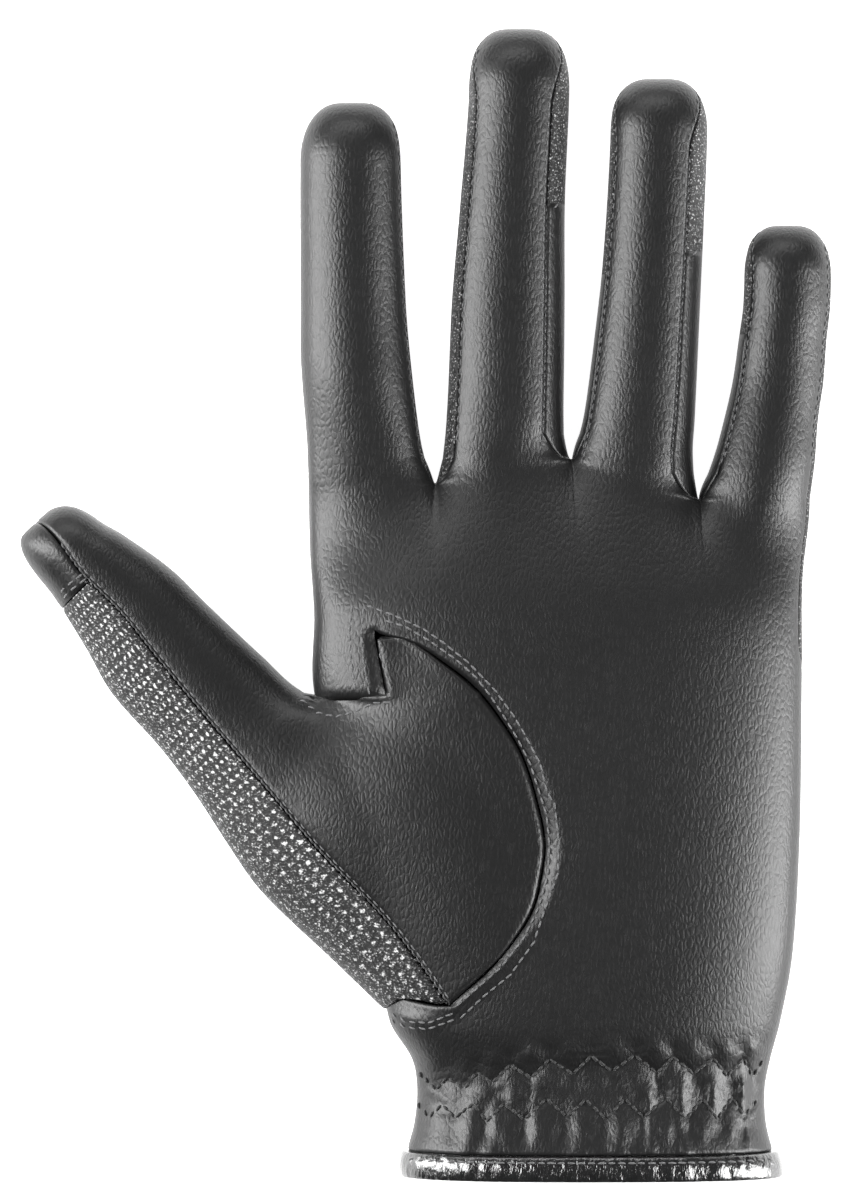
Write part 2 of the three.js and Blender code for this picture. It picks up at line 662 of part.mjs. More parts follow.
// Joins patches that share their borders into one closed sheet with a thickness.
function sewnSheet(patches) {
  const outer = [];
  const inner = [];
  const faces = [];
  const cells = new Map();
  const cellOf = (p) => `${Math.round(p.x)},${Math.round(p.y)},${Math.round(p.z)}`;
  const near = (p) => {
    for (let dx = -1; dx <= 1; dx += 1) {
      for (let dy = -1; dy <= 1; dy += 1) {
        for (let dz = -1; dz <= 1; dz += 1) {
          for (const id of cells.get(cellOf({ x: p.x + dx, y: p.y + dy, z: p.z + dz })) || []) {
            const q = outer[id];
            if (Math.hypot(p.x - q.x, p.y - q.y, p.z - q.z) < 0.02) return id;
          }
        }
      }
    }
    return -1;
  };
  const vertex = (at, u, v) => {
    const p = at(u, v, 0);
    const known = near(p);
    if (known >= 0) return known;
    outer.push(p);
    inner.push(at(u, v, WALL));
    const key = cellOf(p);
    if (!cells.has(key)) cells.set(key, []);
    cells.get(key).push(outer.length - 1);
    return outer.length - 1;
  };
  for (const { across, along, at } of patches) {
    const ids = [];
    for (let j = 0; j <= along; j += 1) {
      const row = [];
      for (let i = 0; i <= across; i += 1) row.push(vertex(at, i / across, j / along));
      ids.push(row);
    }
    for (let j = 0; j < along; j += 1) {
      for (let i = 0; i < across; i += 1) {
        faces.push([ids[j][i], ids[j][i + 1], ids[j + 1][i + 1]]);
        faces.push([ids[j][i], ids[j + 1][i + 1], ids[j + 1][i]]);
      }
    }
  }
  const kept = faces.filter(([a, b, c]) => a !== b && b !== c && a !== c);
  const edges = new Map();
  for (const face of kept) {
    for (let k = 0; k < 3; k += 1) {
      const a = face[k];
      const b = face[(k + 1) % 3];
      const back = `${b},${a}`;
      if (edges.has(back)) edges.delete(back);
      else edges.set(`${a},${b}`, [a, b]);
    }
  }
  const count = outer.length;
  const triangles = [...kept];
  for (const [a, b, c] of kept) triangles.push([a + count, c + count, b + count]);
  for (const [a, b] of edges.values()) {
    triangles.push([b, a, a + count]);
    triangles.push([b, a + count, b + count]);
  }
  const points = [...outer, ...inner];
  return solidOf(points, triangles);
}

function solidOf(points, triangles) {
  let volume = 0;
  for (const [a, b, c] of triangles) {
    const p = new THREE.Vector3(points[a].x, points[a].y, points[a].z);
    const q = new THREE.Vector3(points[b].x, points[b].y, points[b].z);
    const r = new THREE.Vector3(points[c].x, points[c].y, points[c].z);
    volume += p.dot(q.cross(r));
  }
  const geometry = new THREE.BufferGeometry();
  const flat = points.flatMap((p) => [p.x, p.y, p.z]);
  const order = triangles.flatMap(([a, b, c]) => (volume > 0 ? [a, b, c] : [a, c, b]));
  geometry.setAttribute('position', new THREE.Float32BufferAttribute(flat, 3));
  geometry.setIndex(order);
  return geometry;
}

const patch = (across, along, at) => ({ across, along, at });

function palmPanel() {
  const patches = [];
  FINGERS.forEach((finger, index) => {
    patches.push(patch(FINGER_COLUMNS, FINGER_ROWS, (u, v, inset) => fingerFront(finger, u, v, inset)));
    patches.push(patch(FINGER_COLUMNS, KNUCKLE_ROWS, (u, v, inset) => knuckleFront(index, u, v, inset)));
  });
  patches.push(patch(QUIRK_COLUMN, 3, quirkStrip));
  patches.push(patch(LEATHER_COLUMNS - QUIRK_COLUMN, PALM_ROWS, palmMain));
  patches.push(patch(LEATHER_COLUMNS, 12, wristFront));
  return sewnSheet(patches);
}

function backPanel() {
  const patches = [];
  FINGERS.forEach((finger, index) => {
    patches.push(patch(BACK_COLUMNS, FINGER_ROWS, (u, v, inset) => fingerBack(finger, u, v, inset)));
    patches.push(patch(BACK_COLUMNS, KNUCKLE_ROWS, (u, v, inset) => knuckleBack(index, u, v, inset)));
  });
  patches.push(patch(FINGERS.length * BACK_COLUMNS, PALM_ROWS, handBack));
  patches.push(patch(FINGERS.length * BACK_COLUMNS, 2, wristBack));
  return sewnSheet(patches);
}

function cuffBack() {
  return sewnSheet([patch(FINGERS.length * BACK_COLUMNS, 4, cuffBackPoint)]);
}

function wristBinding() {
  return sewnSheet([patch(40, 2, hemPoint)]);
}

// The rows of a side strip: those of the finger's front between two heights, and its two ends.
function stripRows(finger, crotch, from, to) {
  const rows = [];
  for (let k = 0; k <= FINGER_ROWS; k += 1) {
    const y = fingerY(finger, crotch.y, k / FINGER_ROWS, 0);
    if (y > from + 0.5 && y < to - 0.5) rows.push(y);
  }
  return [from, ...rows, to];
}

function stripPatch(index, side, from, to) {
  const finger = FINGERS[index];
  const crotch = side > 0 ? finger.right : finger.left;
  const rows = stripRows(finger, crotch, Math.max(from, crotch.y), to);
  const last = rows.length - 1;
  const at = (u, v, inset) => {
    const share = side > 0 ? u : 1 - u;
    return fingerSide(finger, side, share, rows[Math.round(v * last)], inset);
  };
  return patch(2, last, at);
}

// A side strip that runs down one finger, round the crotch and up the next finger.
function crotchStrip(index, leftTop, rightTop) {
  const lowest = CROTCHES[index].y;
  return sewnSheet([
    stripPatch(index, 1, lowest, leftTop),
    stripPatch(index + 1, -1, lowest, rightTop),
  ]);
}

function upperStrip(index, side, from) {
  const top = FINGERS[index].tip - SIDE_END;
  return sewnSheet([stripPatch(index, side, from + SEAM_GAP, top)]);
}

const seamAngle = (ring) => sectionAngle(ring, ring.seam);
const seamFront = (ring) => seamAngle(ring) - SEAM_GAP / 20;
const seamMesh = (ring) => seamAngle(ring) + SEAM_GAP / 14;
const overEdge = () => -radians(LEATHER_WRAP);
const roundEdge = () => 0;

function thumbFront() {
  return sewnSheet([
    patch(THUMB_COLUMNS, THUMB_ROWS, thumbShaft(seamFront, roundEdge, 0, THUMB_CROTCH)),
    patch(2, THUMB_ROWS, thumbShaft(roundEdge, overEdge, 0, THUMB_CROTCH)),
    ballPatch(BALL_ROWS, 0, CROTCH_SHARE),
    ballPatch(BALL_ROWS, CROTCH_SHARE, TONGUE_SHARE),
    ballPatch(13, TONGUE_SHARE, 1),
    patch(BALL_ROWS, BALL_ROWS, (u, v, inset) => tonguePoint(v, u, inset)),
  ]);
}

function thumbOuterEnd() {
  return 2 * Math.PI - radians(LEATHER_WRAP) - SEAM_GAP / 10;
}

function thumbTip() {
  return sewnSheet([patch(8, 6, thumbShaft(seamMesh, thumbOuterEnd, 0, THUMB_TIP_LEATHER))]);
}

// Outer side of the thumb, which opens on to the back of the hand below the crotch.
function thumbMeshBase(share, along, inset) {
  const endStation = mix(THUMB_LENGTH - THUMB_BASE_SHORT, THUMB_LENGTH - THUMB_FOOT_SHORT, ease(share * 3));
  const station = mix(THUMB_CROTCH, endStation, along);
  const ring = thumbRing(station, inset);
  const outerRing = thumbRing(station, 0);
  const top = backSeamTop();
  const from = thumbStation(top.x, top.y).across;
  const foot = thumbStation(backSeamFoot().x, backSeamFoot().y);
  const opened = limit((station - THUMB_CROTCH) / (foot.station - THUMB_CROTCH), 0, 1);
  const end = 2 * Math.PI - sectionAngle(outerRing, mix(from, foot.across, opened));
  const at = sectionPoint(ring, mix(seamMesh(outerRing), end, share), inset);
  return { ...thumbPlace(station, at.x), z: at.z };
}

function thumbMesh() {
  const from = THUMB_TIP_LEATHER + SEAM_GAP;
  return sewnSheet([
    patch(MESH_COLUMNS, 8, thumbShaft(seamMesh, thumbOuterEnd, from, THUMB_CROTCH)),
    patch(MESH_COLUMNS, 14, thumbMeshBase),
  ]);
}

const leather = (color) => new THREE.MeshStandardMaterial({ color, roughness: 0.45, metalness: 0 });
const mesh = () => new THREE.MeshStandardMaterial({ color: 0x2a2a2b, roughness: 0.9, metalness: 0 });
const patent = () => new THREE.MeshStandardMaterial({ color: 0x0c0c0d, roughness: 0.12, metalness: 0 });

function piece(name, geometry, material) {
  const made = new THREE.Mesh(geometry, material);
  made.name = name;
  return made;
}

const glove = new THREE.Group();
glove.add(piece('palm_panel', palmPanel(), leather(0x2e2e2f)));
glove.add(piece('back_panel', backPanel(), mesh()));
glove.add(piece('cuff_back', cuffBack(), leather(0x2b2b2c)));
glove.add(piece('wrist_binding', wristBinding(), patent()));
glove.add(piece('thumb_front', thumbFront(), leather(0x303031)));
glove.add(piece('thumb_mesh', thumbMesh(), mesh()));
glove.add(piece('thumb_tip', thumbTip(), leather(0x303031)));
glove.add(piece('side_index_middle', crotchStrip(0, INDEX.tip - SIDE_END, MIDDLE.tip - SIDE_END), mesh()));
glove.add(piece('side_middle_ring', crotchStrip(1, MESH_BEGINS.middle, MESH_BEGINS.ringLeft), leather(0x2b2b2c)));
glove.add(piece('side_ring_little', crotchStrip(2, MESH_BEGINS.ringRight, MESH_BEGINS.little), leather(0x2b2b2c)));
glove.add(piece('side_middle_upper', upperStrip(1, 1, MESH_BEGINS.middle), mesh()));
glove.add(piece('side_ring_upper_left', upperStrip(2, -1, MESH_BEGINS.ringLeft), mesh()));
glove.add(piece('side_ring_upper_right', upperStrip(2, 1, MESH_BEGINS.ringRight), mesh()));
glove.add(piece('side_little_upper', upperStrip(3, -1, MESH_BEGINS.little), mesh()));

export default glove;
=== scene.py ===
import math
from functools import lru_cache

import bmesh
import bpy
from mathutils import Matrix, Vector
from mathutils.bvhtree import BVHTree
from mathutils.kdtree import KDTree


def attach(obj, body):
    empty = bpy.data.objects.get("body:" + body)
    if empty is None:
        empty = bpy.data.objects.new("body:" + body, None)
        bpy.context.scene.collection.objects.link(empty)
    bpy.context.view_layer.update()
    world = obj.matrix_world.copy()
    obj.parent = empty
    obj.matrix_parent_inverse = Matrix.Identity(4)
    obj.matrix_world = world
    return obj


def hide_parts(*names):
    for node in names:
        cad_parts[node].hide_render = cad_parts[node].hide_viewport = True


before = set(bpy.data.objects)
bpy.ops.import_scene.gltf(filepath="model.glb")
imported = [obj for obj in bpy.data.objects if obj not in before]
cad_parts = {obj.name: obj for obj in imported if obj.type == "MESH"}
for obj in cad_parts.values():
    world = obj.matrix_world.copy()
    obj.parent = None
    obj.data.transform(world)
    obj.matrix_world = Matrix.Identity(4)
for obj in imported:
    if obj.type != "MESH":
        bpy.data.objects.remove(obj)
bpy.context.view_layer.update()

bl_info = {
    "name": "Riding Glove",
    "version": (1, 0, 0),
    "blender": (4, 5, 0),
    "location": "View3D > Sidebar > Riding Glove",
    "description": "Dresses the panels of a riding glove in leather, knit, binding and thread",
    "category": "Add Mesh",
}

# The functions below work in millimetres. A mesh is scaled to metres when it is made.
MM = 0.001
SEAM_GAP = 0.2
KNIT_WALL = 0.9
SIDE_WALL = 0.8
FLATTENED = 0.06
FULL_TURN = 2 * math.pi

HAND_WIDTH = 98.0
HAND_LENGTH = 114.8
HAND_DEPTH = 27.0
HAND_SIDE_X = 74.2
HAND_ROUND = 2.7
KNUCKLE_Y = -6.0
CROTCH_DEPTH = 18.0
WEB_HEIGHT = 5.0
CROTCHES = ((0.9, 23.2), (28.3, 28.0), (53.9, 20.0))
FINGER_ROUND = 2.2
FINGER_POINT = 0.2
CAP_ROWS = 0.38
THINNEST = 0.05

THUMB_TIP = (-80.2, 14.6)
THUMB_LEAN = math.radians(46.7)
THUMB_LENGTH = 126.6
THUMB_WIDTH = 30.0
THUMB_DEPTH = 26.0
THUMB_CAP = 10.0
THUMB_POINT = 0.3
THUMB_CROTCH = 62.0
THUMB_TIP_LEATHER = 16.3
THUMB_BLEND = 5.0

CUFF_TOP = -90.0
HEM_TOP = -109.8
HEM_Y = -114.8
HEM_PROUD = 0.9
HEM_THICK = 3.0
HEM_BULGE = 0.45
HEM_RIPPLE = 0.12
PINCH_X, PINCH_WIDTH, PINCH_DEPTH = 54.0, 1.6, 0.5
GATHER_RISE = 0.825

LEATHER_WRAP = math.radians(40)
WRAP_GAP = math.radians(0.6)
BACK_SEAM = math.radians(34)
SIDE_TOP = 12.0
SIDE_BOTTOM = 3.0
SIDE_SEAM = math.radians(12)
SIDE_SAG = 0.35
SIDE_TIP_GAP = 0.2
OUTWARD_FROM = 0.82
SIDE_SEAM_BEGINS = -8.0
SIDE_SEAM_ENDS = -30.0

# Seams of each finger are shares of its half width. Sections give the share of the length
# from the lower crotch to the tip, then the shift and the width as shares of the width.
FINGERS = (
    {
        "tip": 99.6, "width": 21.4, "depth": 17.0, "cap": 12.0, "middle": -15.4,
        "root": 23.2, "left": None, "right": 0, "seams": (-1, 0.96),
        "sections": (
            (0, 0.15, 1.15), (0.11, 0.1, 1.08), (0.32, 0.025, 1.045), (0.48, 0, 1),
            (0.85, -0.025, 0.955), (1, -0.015, 0.95),
        ),
    },
    {
        "tip": 114.4, "width": 22.0, "depth": 17.6, "cap": 12.0, "middle": 15.6,
        "root": 23.2, "left": 0, "right": 1, "seams": (-0.82, 0.64),
        "sections": (
            (0, -0.06, 1.12), (0.18, -0.025, 1.09), (0.4, 0, 1.06), (0.62, 0.04, 0.985),
            (0.84, 0.095, 0.95), (1, 0.1, 0.95),
        ),
    },
    {
        "tip": 104.4, "width": 20.8, "depth": 17.0, "cap": 11.0, "middle": 43.3,
        "root": 20.0, "left": 1, "right": 2, "seams": (-0.88, 0.61),
        "sections": (
            (0, -0.14, 1.22), (0.11, -0.115, 1.154), (0.19, -0.07, 1.106), (0.38, 0, 1.04),
            (0.57, 0.06, 0.99), (0.85, 0.12, 0.97), (1, 0.12, 0.97),
        ),
    },
    {
        "tip": 75.0, "width": 18.0, "depth": 15.6, "cap": 10.0, "middle": 70.5,
        "root": 20.0, "left": 2, "right": None, "seams": (-0.83, 0.94),
        "sections": (
            (0, -0.31, 1.24), (0.14, -0.21, 1.155), (0.29, -0.13, 1.067), (0.43, -0.05, 1.033),
            (0.58, 0, 1), (0.72, 0.05, 0.99), (1, 0.06, 0.98),
        ),
    },
)
MESH_BEGINS = {"middle": 79.0, "ring_left": 65.0, "ring_right": 69.5, "little": 53.0}

# Share of the hand's length below y = 0, left and right shares of its width, share of its depth.
HAND_SECTIONS = (
    (-0.25, -0.01, 0.02, 0.68), (-0.1, -0.005, 0.01, 0.8), (0.02, 0.005, 0, 0.92),
    (0.16, 0.005, 0, 0.98), (0.42, 0.08, 0.005, 1.03), (0.62, 0.135, 0.02, 1.06),
    (0.735, 0.16, 0.045, 1.06), (0.8, 0.205, 0.065, 1.03), (0.85, 0.215, 0.076, 1.03),
    (0.91, 0.21, 0.074, 1.08), (0.96, 0.195, 0.06, 1.13), (1, 0.19, 0.05, 1.15),
)

# Share of the thumb's length, low side, high side and seam as shares of its width, depth share.
THUMB_SECTIONS = (
    (0, -0.2, 0.36, 0.1, 0.58), (0.067, -0.2, 0.36, 0.063, 0.6), (0.11, -0.215, 0.41, 0.037, 0.62),
    (0.2, -0.29, 0.485, 0.05, 0.65), (0.28, -0.37, 0.5, 0.023, 0.68),
    (0.4, -0.385, 0.53, -0.01, 0.74), (0.49, -0.427, 0.573, -0.027, 0.8),
    (0.57, -0.487, 0.8, -0.043, 0.88), (0.65, -0.54, 1.07, -0.063, 0.96),
    (0.71, -0.543, 1.2, -0.067, 1), (0.83, -0.51, 1.25, -0.057, 1.04),
    (0.925, -0.49, 1.15, -0.09, 1.06), (1, -0.47, 1, -0.14, 1.06),
)

# Edge of the leather round the ball of the thumb: share down, share across.
HOLE_TOP, HOLE_BOTTOM, HOLE_LEFT, HOLE_WIDTH = -6.6, -80.6, -11.3, 34.0
HOLE_EDGE = (
    (0, 0), (0.025, 0.21), (0.09, 0.44), (0.15, 0.6), (0.23, 0.74), (0.33, 0.87), (0.48, 0.97),
    (0.57, 1), (0.65, 0.98), (0.74, 0.93), (0.83, 0.81), (0.905, 0.67), (0.97, 0.51), (1, 0.44),
)
QUIRK_X, QUIRK_Y = -8.9, -19.2
CROTCH_SHARE, TONGUE_SHARE = 0.18, 0.36
QUIRK_TUCK, BALL_TUCK = 0.7, 2.6

# Gathers of the cuff: share across the front, width, height, lean, and where it runs.
GATHERS = (
    (0.06, 0.016, 0.7, -0.01, 0.1, 0.75), (0.16, 0.018, 1, -0.015, 0.25, 1),
    (0.23, 0.014, 0.8, -0.01, 0.3, 1), (0.34, 0.016, 0.6, 0, 0.1, 0.7),
    (0.45, 0.018, 0.9, 0.02, 0.2, 1), (0.57, 0.015, 0.9, 0, 0.2, 0.95),
    (0.66, 0.014, 0.6, 0.005, 0.15, 0.8), (0.75, 0.014, 0.7, 0.01, 0.1, 0.85),
    (0.84, 0.014, 0.5, 0.01, 0.1, 0.75), (0.93, 0.014, 0.5, 0.01, 0.1, 0.75),
)


def mix(a, b, share):
    return a + (b - a) * share


def limit(value, low, high):
    return min(high, max(low, value))


def power(value, exponent):
    return math.copysign(abs(value) ** exponent, value)


def ease(share):
    s = limit(share, 0, 1)
    return s * s * (3 - 2 * s)


def bell(distance, wide):
    return math.exp(-((distance / wide) ** 2))


def read(rows, column, place):
    """One column of a table at a place between its rows, along a smooth curve."""
    last = len(rows) - 1
    i = 0
    while i < last - 1 and place > rows[i + 1][0]:
        i += 1

    def slope(k):
        a, b = rows[max(0, k - 1)], rows[min(last, k + 1)]
        return (b[column] - a[column]) / (b[0] - a[0])

    low, high = rows[i], rows[i + 1]
    step = high[0] - low[0]
    t = limit((place - low[0]) / step, 0, 1)
    swing = t * (1 - t) * (1 - t) * step * slope(i) + t * t * (t - 1) * step * slope(i + 1)
    return mix(low[column], high[column], t * t * (3 - 2 * t)) + swing


class Ring:
    """A rounded section that lies flat where it rests."""

    def __init__(self, left, right, shape, level, rise, cap=1.0, seam=0.0):
        self.left, self.right, self.shape = left, right, shape
        self.level, self.rise, self.cap, self.seam = level, rise, cap, seam
        self.middle, self.half = (left + right) / 2, (right - left) / 2

    def point(self, angle, inset=0.0):
        flow = 2 / self.shape
        x = self.middle + (self.half - inset) * power(math.cos(angle), flow)
        z = self.level + (self.rise - inset) * power(math.sin(angle), flow)
        return x, max(z, inset)

    def angle(self, x):
        share = limit((x - self.middle) / self.half, -1, 1)
        return math.acos(power(share, self.shape / 2))

    def height(self, x):
        share = abs(x - self.middle) / self.half
        if share >= 1:
            return self.level - (share - 1) * self.half
        return self.level + self.rise * (1 - share ** self.shape) ** (1 / self.shape)


def lying(depth):
    return depth * (0.5 - FLATTENED / 2), depth * (0.5 + FLATTENED / 2)


@lru_cache(maxsize=None)
def hand_ring(y):
    at = -y / HAND_LENGTH
    left = HAND_SIDE_X - HAND_WIDTH + HAND_WIDTH * read(HAND_SECTIONS, 1, at)
    right = HAND_SIDE_X - HAND_WIDTH * read(HAND_SECTIONS, 2, at)
    return Ring(left, right, HAND_ROUND, *lying(HAND_DEPTH * read(HAND_SECTIONS, 3, at)))


def cap_share(left, cap):
    if left >= cap:
        return 1.0
    return (1 - (1 - max(left, 0) / cap) ** FINGER_ROUND) ** (1 / FINGER_ROUND)


@lru_cache(maxsize=None)
def finger_ring(index, y):
    finger = FINGERS[index]
    at = (y - finger["root"]) / (finger["tip"] - finger["root"])
    cap = cap_share(finger["tip"] - y, finger["cap"])
    half = finger["width"] / 2 * read(finger["sections"], 2, at) * mix(FINGER_POINT, 1, cap)
    middle = finger["middle"] + finger["width"] * read(finger["sections"], 1, at)
    level, rise = lying(mix(CROTCH_DEPTH, finger["depth"], ease(at * 2)))
    return Ring(middle - half, middle + half, FINGER_ROUND, level, max(rise * cap, THINNEST), cap)


def draw_in(point, crotch, weight, height):
    """Draws a point beside a crotch in to the middle of the crotch."""
    if crotch is None:
        return point
    x, y, z = point
    pull = (1 - math.sqrt(limit((y - CROTCHES[crotch][1]) / WEB_HEIGHT, 0, 1))) * weight
    return mix(x, CROTCHES[crotch][0], pull), y, mix(z, height, pull)


def draw_in_sides(point, finger, share, height):
    point = draw_in(point, finger["left"], max(0, 1 - 2 * share) ** 2, height)
    return draw_in(point, finger["right"], max(0, 2 * share - 1) ** 2, height)


def finger_base(index, share):
    finger = FINGERS[index]
    left = finger["left"] if finger["left"] is not None else finger["right"]
    right = finger["right"] if finger["right"] is not None else finger["left"]
    return mix(CROTCHES[left][1], CROTCHES[right][1], share)


def finger_y(index, base, share):
    """Spreads the rows of a finger, of which CAP_ROWS go round its tip."""
    finger = FINGERS[index]
    cap_from = finger["tip"] - finger["cap"]
    turn = 1 - CAP_ROWS
    if share < turn:
        return base + (cap_from - base) * (share / turn) ** 1.2
    return cap_from + finger["cap"] * math.sin((share - turn) / CAP_ROWS * math.pi / 2)


UNIT_RING = Ring(-1, 1, FINGER_ROUND, 0, 1)


def outward_share(index, y):
    """How far the seams of a finger have moved out to its sides, on the way to its tip."""
    finger = FINGERS[index]
    at = (y - finger["root"]) / (finger["tip"] - finger["root"])
    return ease((at - OUTWARD_FROM) / (1 - OUTWARD_FROM))


@lru_cache(maxsize=None)
def front_angles(index, y):
    finger = FINGERS[index]
    outward = outward_share(index, y)
    if finger["left"] is None:
        left = mix(math.pi + LEATHER_WRAP, math.pi, outward)
    else:
        left = UNIT_RING.angle(mix(finger["seams"][0], -1, outward))
    return left, UNIT_RING.angle(mix(finger["seams"][1], 1, outward))


def gap_angle(ring):
    return SEAM_GAP / 2 / max(ring.half, 1)


def finger_front(index, share, along):
    y = finger_y(index, finger_base(index, share), along)
    ring = finger_ring(index, y)
    left, right = front_angles(index, y)
    gap = gap_angle(ring)
    x, z = ring.point(mix(left - gap, right + gap, share))
    point = (x, y, z - SEAM_GAP * (1 - ring.cap))
    return draw_in_sides(point, FINGERS[index], share, SIDE_TOP)


def finger_back(index, share, along):
    finger = FINGERS[index]
    y = finger_y(index, finger_base(index, share), along)
    ring = finger_ring(index, y)
    left, right = front_angles(index, y)
    seam = mix(BACK_SEAM, 0, outward_share(index, y))
    gap = gap_angle(ring)
    start = left if finger["left"] is None else math.pi + seam
    end = right + FULL_TURN if finger["right"] is None else FULL_TURN - seam
    x, z = ring.point(mix(start + gap, end - gap, share))
    point = (x, y, max(z - SEAM_GAP / 2 * (1 - ring.cap), 0))
    return draw_in_sides(point, finger, share, SIDE_BOTTOM - SEAM_GAP)


def finger_side(index, side, share, y):
    finger = FINGERS[index]
    crotch = finger["right"] if side > 0 else finger["left"]
    ring = finger_ring(index, y)
    left, right = front_angles(index, y)
    back = mix(BACK_SEAM, 0, outward_share(index, y))
    gap = gap_angle(ring)
    front = right - gap if side > 0 else math.pi - (left + gap)
    angle = mix(-back + gap, front, share)
    sag = SIDE_SAG * math.sin(math.pi * share) * ease((y - CROTCHES[crotch][1]) / 12)
    x, z = ring.point(angle if side > 0 else math.pi - angle, sag)
    height = mix(SIDE_BOTTOM, SIDE_TOP - 0.8, share)
    return draw_in((x, y, z), crotch, 1, height)


THUMB_COS, THUMB_SIN = math.cos(THUMB_LEAN), math.sin(THUMB_LEAN)


def thumb_place(station, across):
    x = THUMB_TIP[0] + station * THUMB_COS + across * THUMB_SIN
    return x, THUMB_TIP[1] - station * THUMB_SIN + across * THUMB_COS


def thumb_station(x, y):
    dx, dy = x - THUMB_TIP[0], y - THUMB_TIP[1]
    return dx * THUMB_COS - dy * THUMB_SIN, dx * THUMB_SIN + dy * THUMB_COS


@lru_cache(maxsize=None)
def thumb_ring(station):
    at = station / THUMB_LENGTH
    cap = cap_share(station, THUMB_CAP)
    size = mix(THUMB_POINT, 1, cap) * THUMB_WIDTH
    low, high, seam = (size * read(THUMB_SECTIONS, k, at) for k in (1, 2, 3))
    level, rise = lying(THUMB_DEPTH * read(THUMB_SECTIONS, 4, at))
    return Ring(low, high, FINGER_ROUND, level, max(rise * cap, THINNEST), cap, seam)


def front_height(x, y):
    """Height of the front of hand and thumb together, with a soft valley where they meet."""
    hand = hand_ring(y).height(x)
    station, across = thumb_station(x, y)
    thumb = thumb_ring(max(station, THUMB_CAP)).height(across) - max(0, station - THUMB_LENGTH)
    soft = max(0, THUMB_BLEND - abs(hand - thumb)) / THUMB_BLEND
    return max(hand, thumb) + soft * soft * THUMB_BLEND / 4


def gather_rise(x, y, ring):
    height = (y - HEM_Y) / (CUFF_TOP - HEM_Y)
    if height <= 0 or height >= 1:
        return 0.0
    across = (x - ring.left) / (ring.right - ring.left)
    rise = 0.0
    for place, wide, high, lean, start, end in GATHERS:
        down = 1 - height
        reach = ease((down - start) * 6) * ease((end - down) * 6 + 0.5)
        rise += high * reach * bell(across - place - lean * down, wide)
    return GATHER_RISE * (rise - 0.3) * ease(height * 8) * ease((1 - height) * 8)


PICTURE_ORIGIN = (430.5, 599)
MM_PER_PIXEL = 0.2


def picture(*points):
    """Turns places measured on the photograph into millimetres."""
    x0, y0 = PICTURE_ORIGIN
    return [((x - x0) * MM_PER_PIXEL, (y0 - y) * MM_PER_PIXEL) for x, y in points]


# The two rows of zigzag stitching on the cuff, each corner in turn.
ZIGZAGS = (
    picture((418, 1070), (436, 1085), (447, 1073), (464, 1084), (476, 1067), (492, 1077),
            (509, 1059), (530, 1072), (548, 1053), (571, 1068), (589, 1050), (610, 1065),
            (632, 1049), (654, 1067), (670, 1051), (690, 1068), (710, 1053), (724, 1071),
            (740, 1054), (750, 1073), (762, 1056)),
    picture((416, 1100), (429, 1113), (442, 1100), (455, 1112), (473, 1098), (486, 1115),
            (503, 1097), (523, 1113), (545, 1092), (565, 1110), (583, 1093), (604, 1112),
            (622, 1092), (641, 1111), (662, 1091), (683, 1112), (700, 1093), (714, 1113),
            (729, 1093), (741, 1111), (757, 1096)),
)
ZIGZAG_RISE = 3.4
ROW_SINK, PUFF_BELOW, DENT_ABOVE = 0.3, 0.5, 0.35


@lru_cache(maxsize=None)
def zigzag_y(x, row):
    line = ZIGZAGS[row]
    for (left, low), (right, high) in zip(line, line[1:]):
        if left <= x <= right:
            return mix(low, high, (x - left) / (right - left))
    return line[0][1] if x < line[0][0] else line[-1][1]


@lru_cache(maxsize=None)
def zigzag_middle(x, row):
    return sum(zigzag_y(x + step, row) for step in (-6, -4, -2, 0, 2, 4, 6)) / 7


def pucker(x, y):
    """Small pulls where the elastic zigzag rows gather the leather."""
    x = round(x, 1)
    rise = 0.0
    for row in (0, 1):
        line, middle = zigzag_y(x, row), zigzag_middle(x, row)
        wave = limit((line - middle) / ZIGZAG_RISE * 2, -1, 1)
        rise -= ROW_SINK * bell(y - line, 0.8)
        rise += PUFF_BELOW * wave * bell(y - middle + 4.2, 2.6)
        rise -= DENT_ABOVE * wave * bell(y - middle - 3.2, 1.6)
    return rise


def hand_point(angle, y):
    ring = hand_ring(y)
    at_x, at_z = ring.point(angle)
    upper = ease(math.sin(angle) * 3)
    lift = gather_rise(at_x, y, ring)
    if y < CUFF_TOP + 4:
        lift += pucker(at_x, y)
    return at_x, y, mix(at_z, max(front_height(at_x, y), 0), upper) + lift * upper


WRAP_LEFT = math.pi + LEATHER_WRAP


def side_seam(y):
    turned = ease((SIDE_SEAM_BEGINS - y) / (SIDE_SEAM_BEGINS - SIDE_SEAM_ENDS))
    return mix(SIDE_SEAM, -LEATHER_WRAP, turned)


@lru_cache(maxsize=None)
def hole_x(y):
    down = limit((HOLE_TOP - y) / (HOLE_TOP - HOLE_BOTTOM), 0, 1)
    return HOLE_LEFT + HOLE_WIDTH * read(HOLE_EDGE, 1, down)


def ball_x(y):
    return min(hole_x(y - SEAM_GAP), hole_x(y + SEAM_GAP)) - SEAM_GAP


def quirk_x(y):
    return mix(HOLE_LEFT, QUIRK_X, limit((HOLE_TOP - y) / (HOLE_TOP - QUIRK_Y), 0, 1))


QUIRK_COLUMN = 5 / 8
COLUMNS = len(FINGERS)


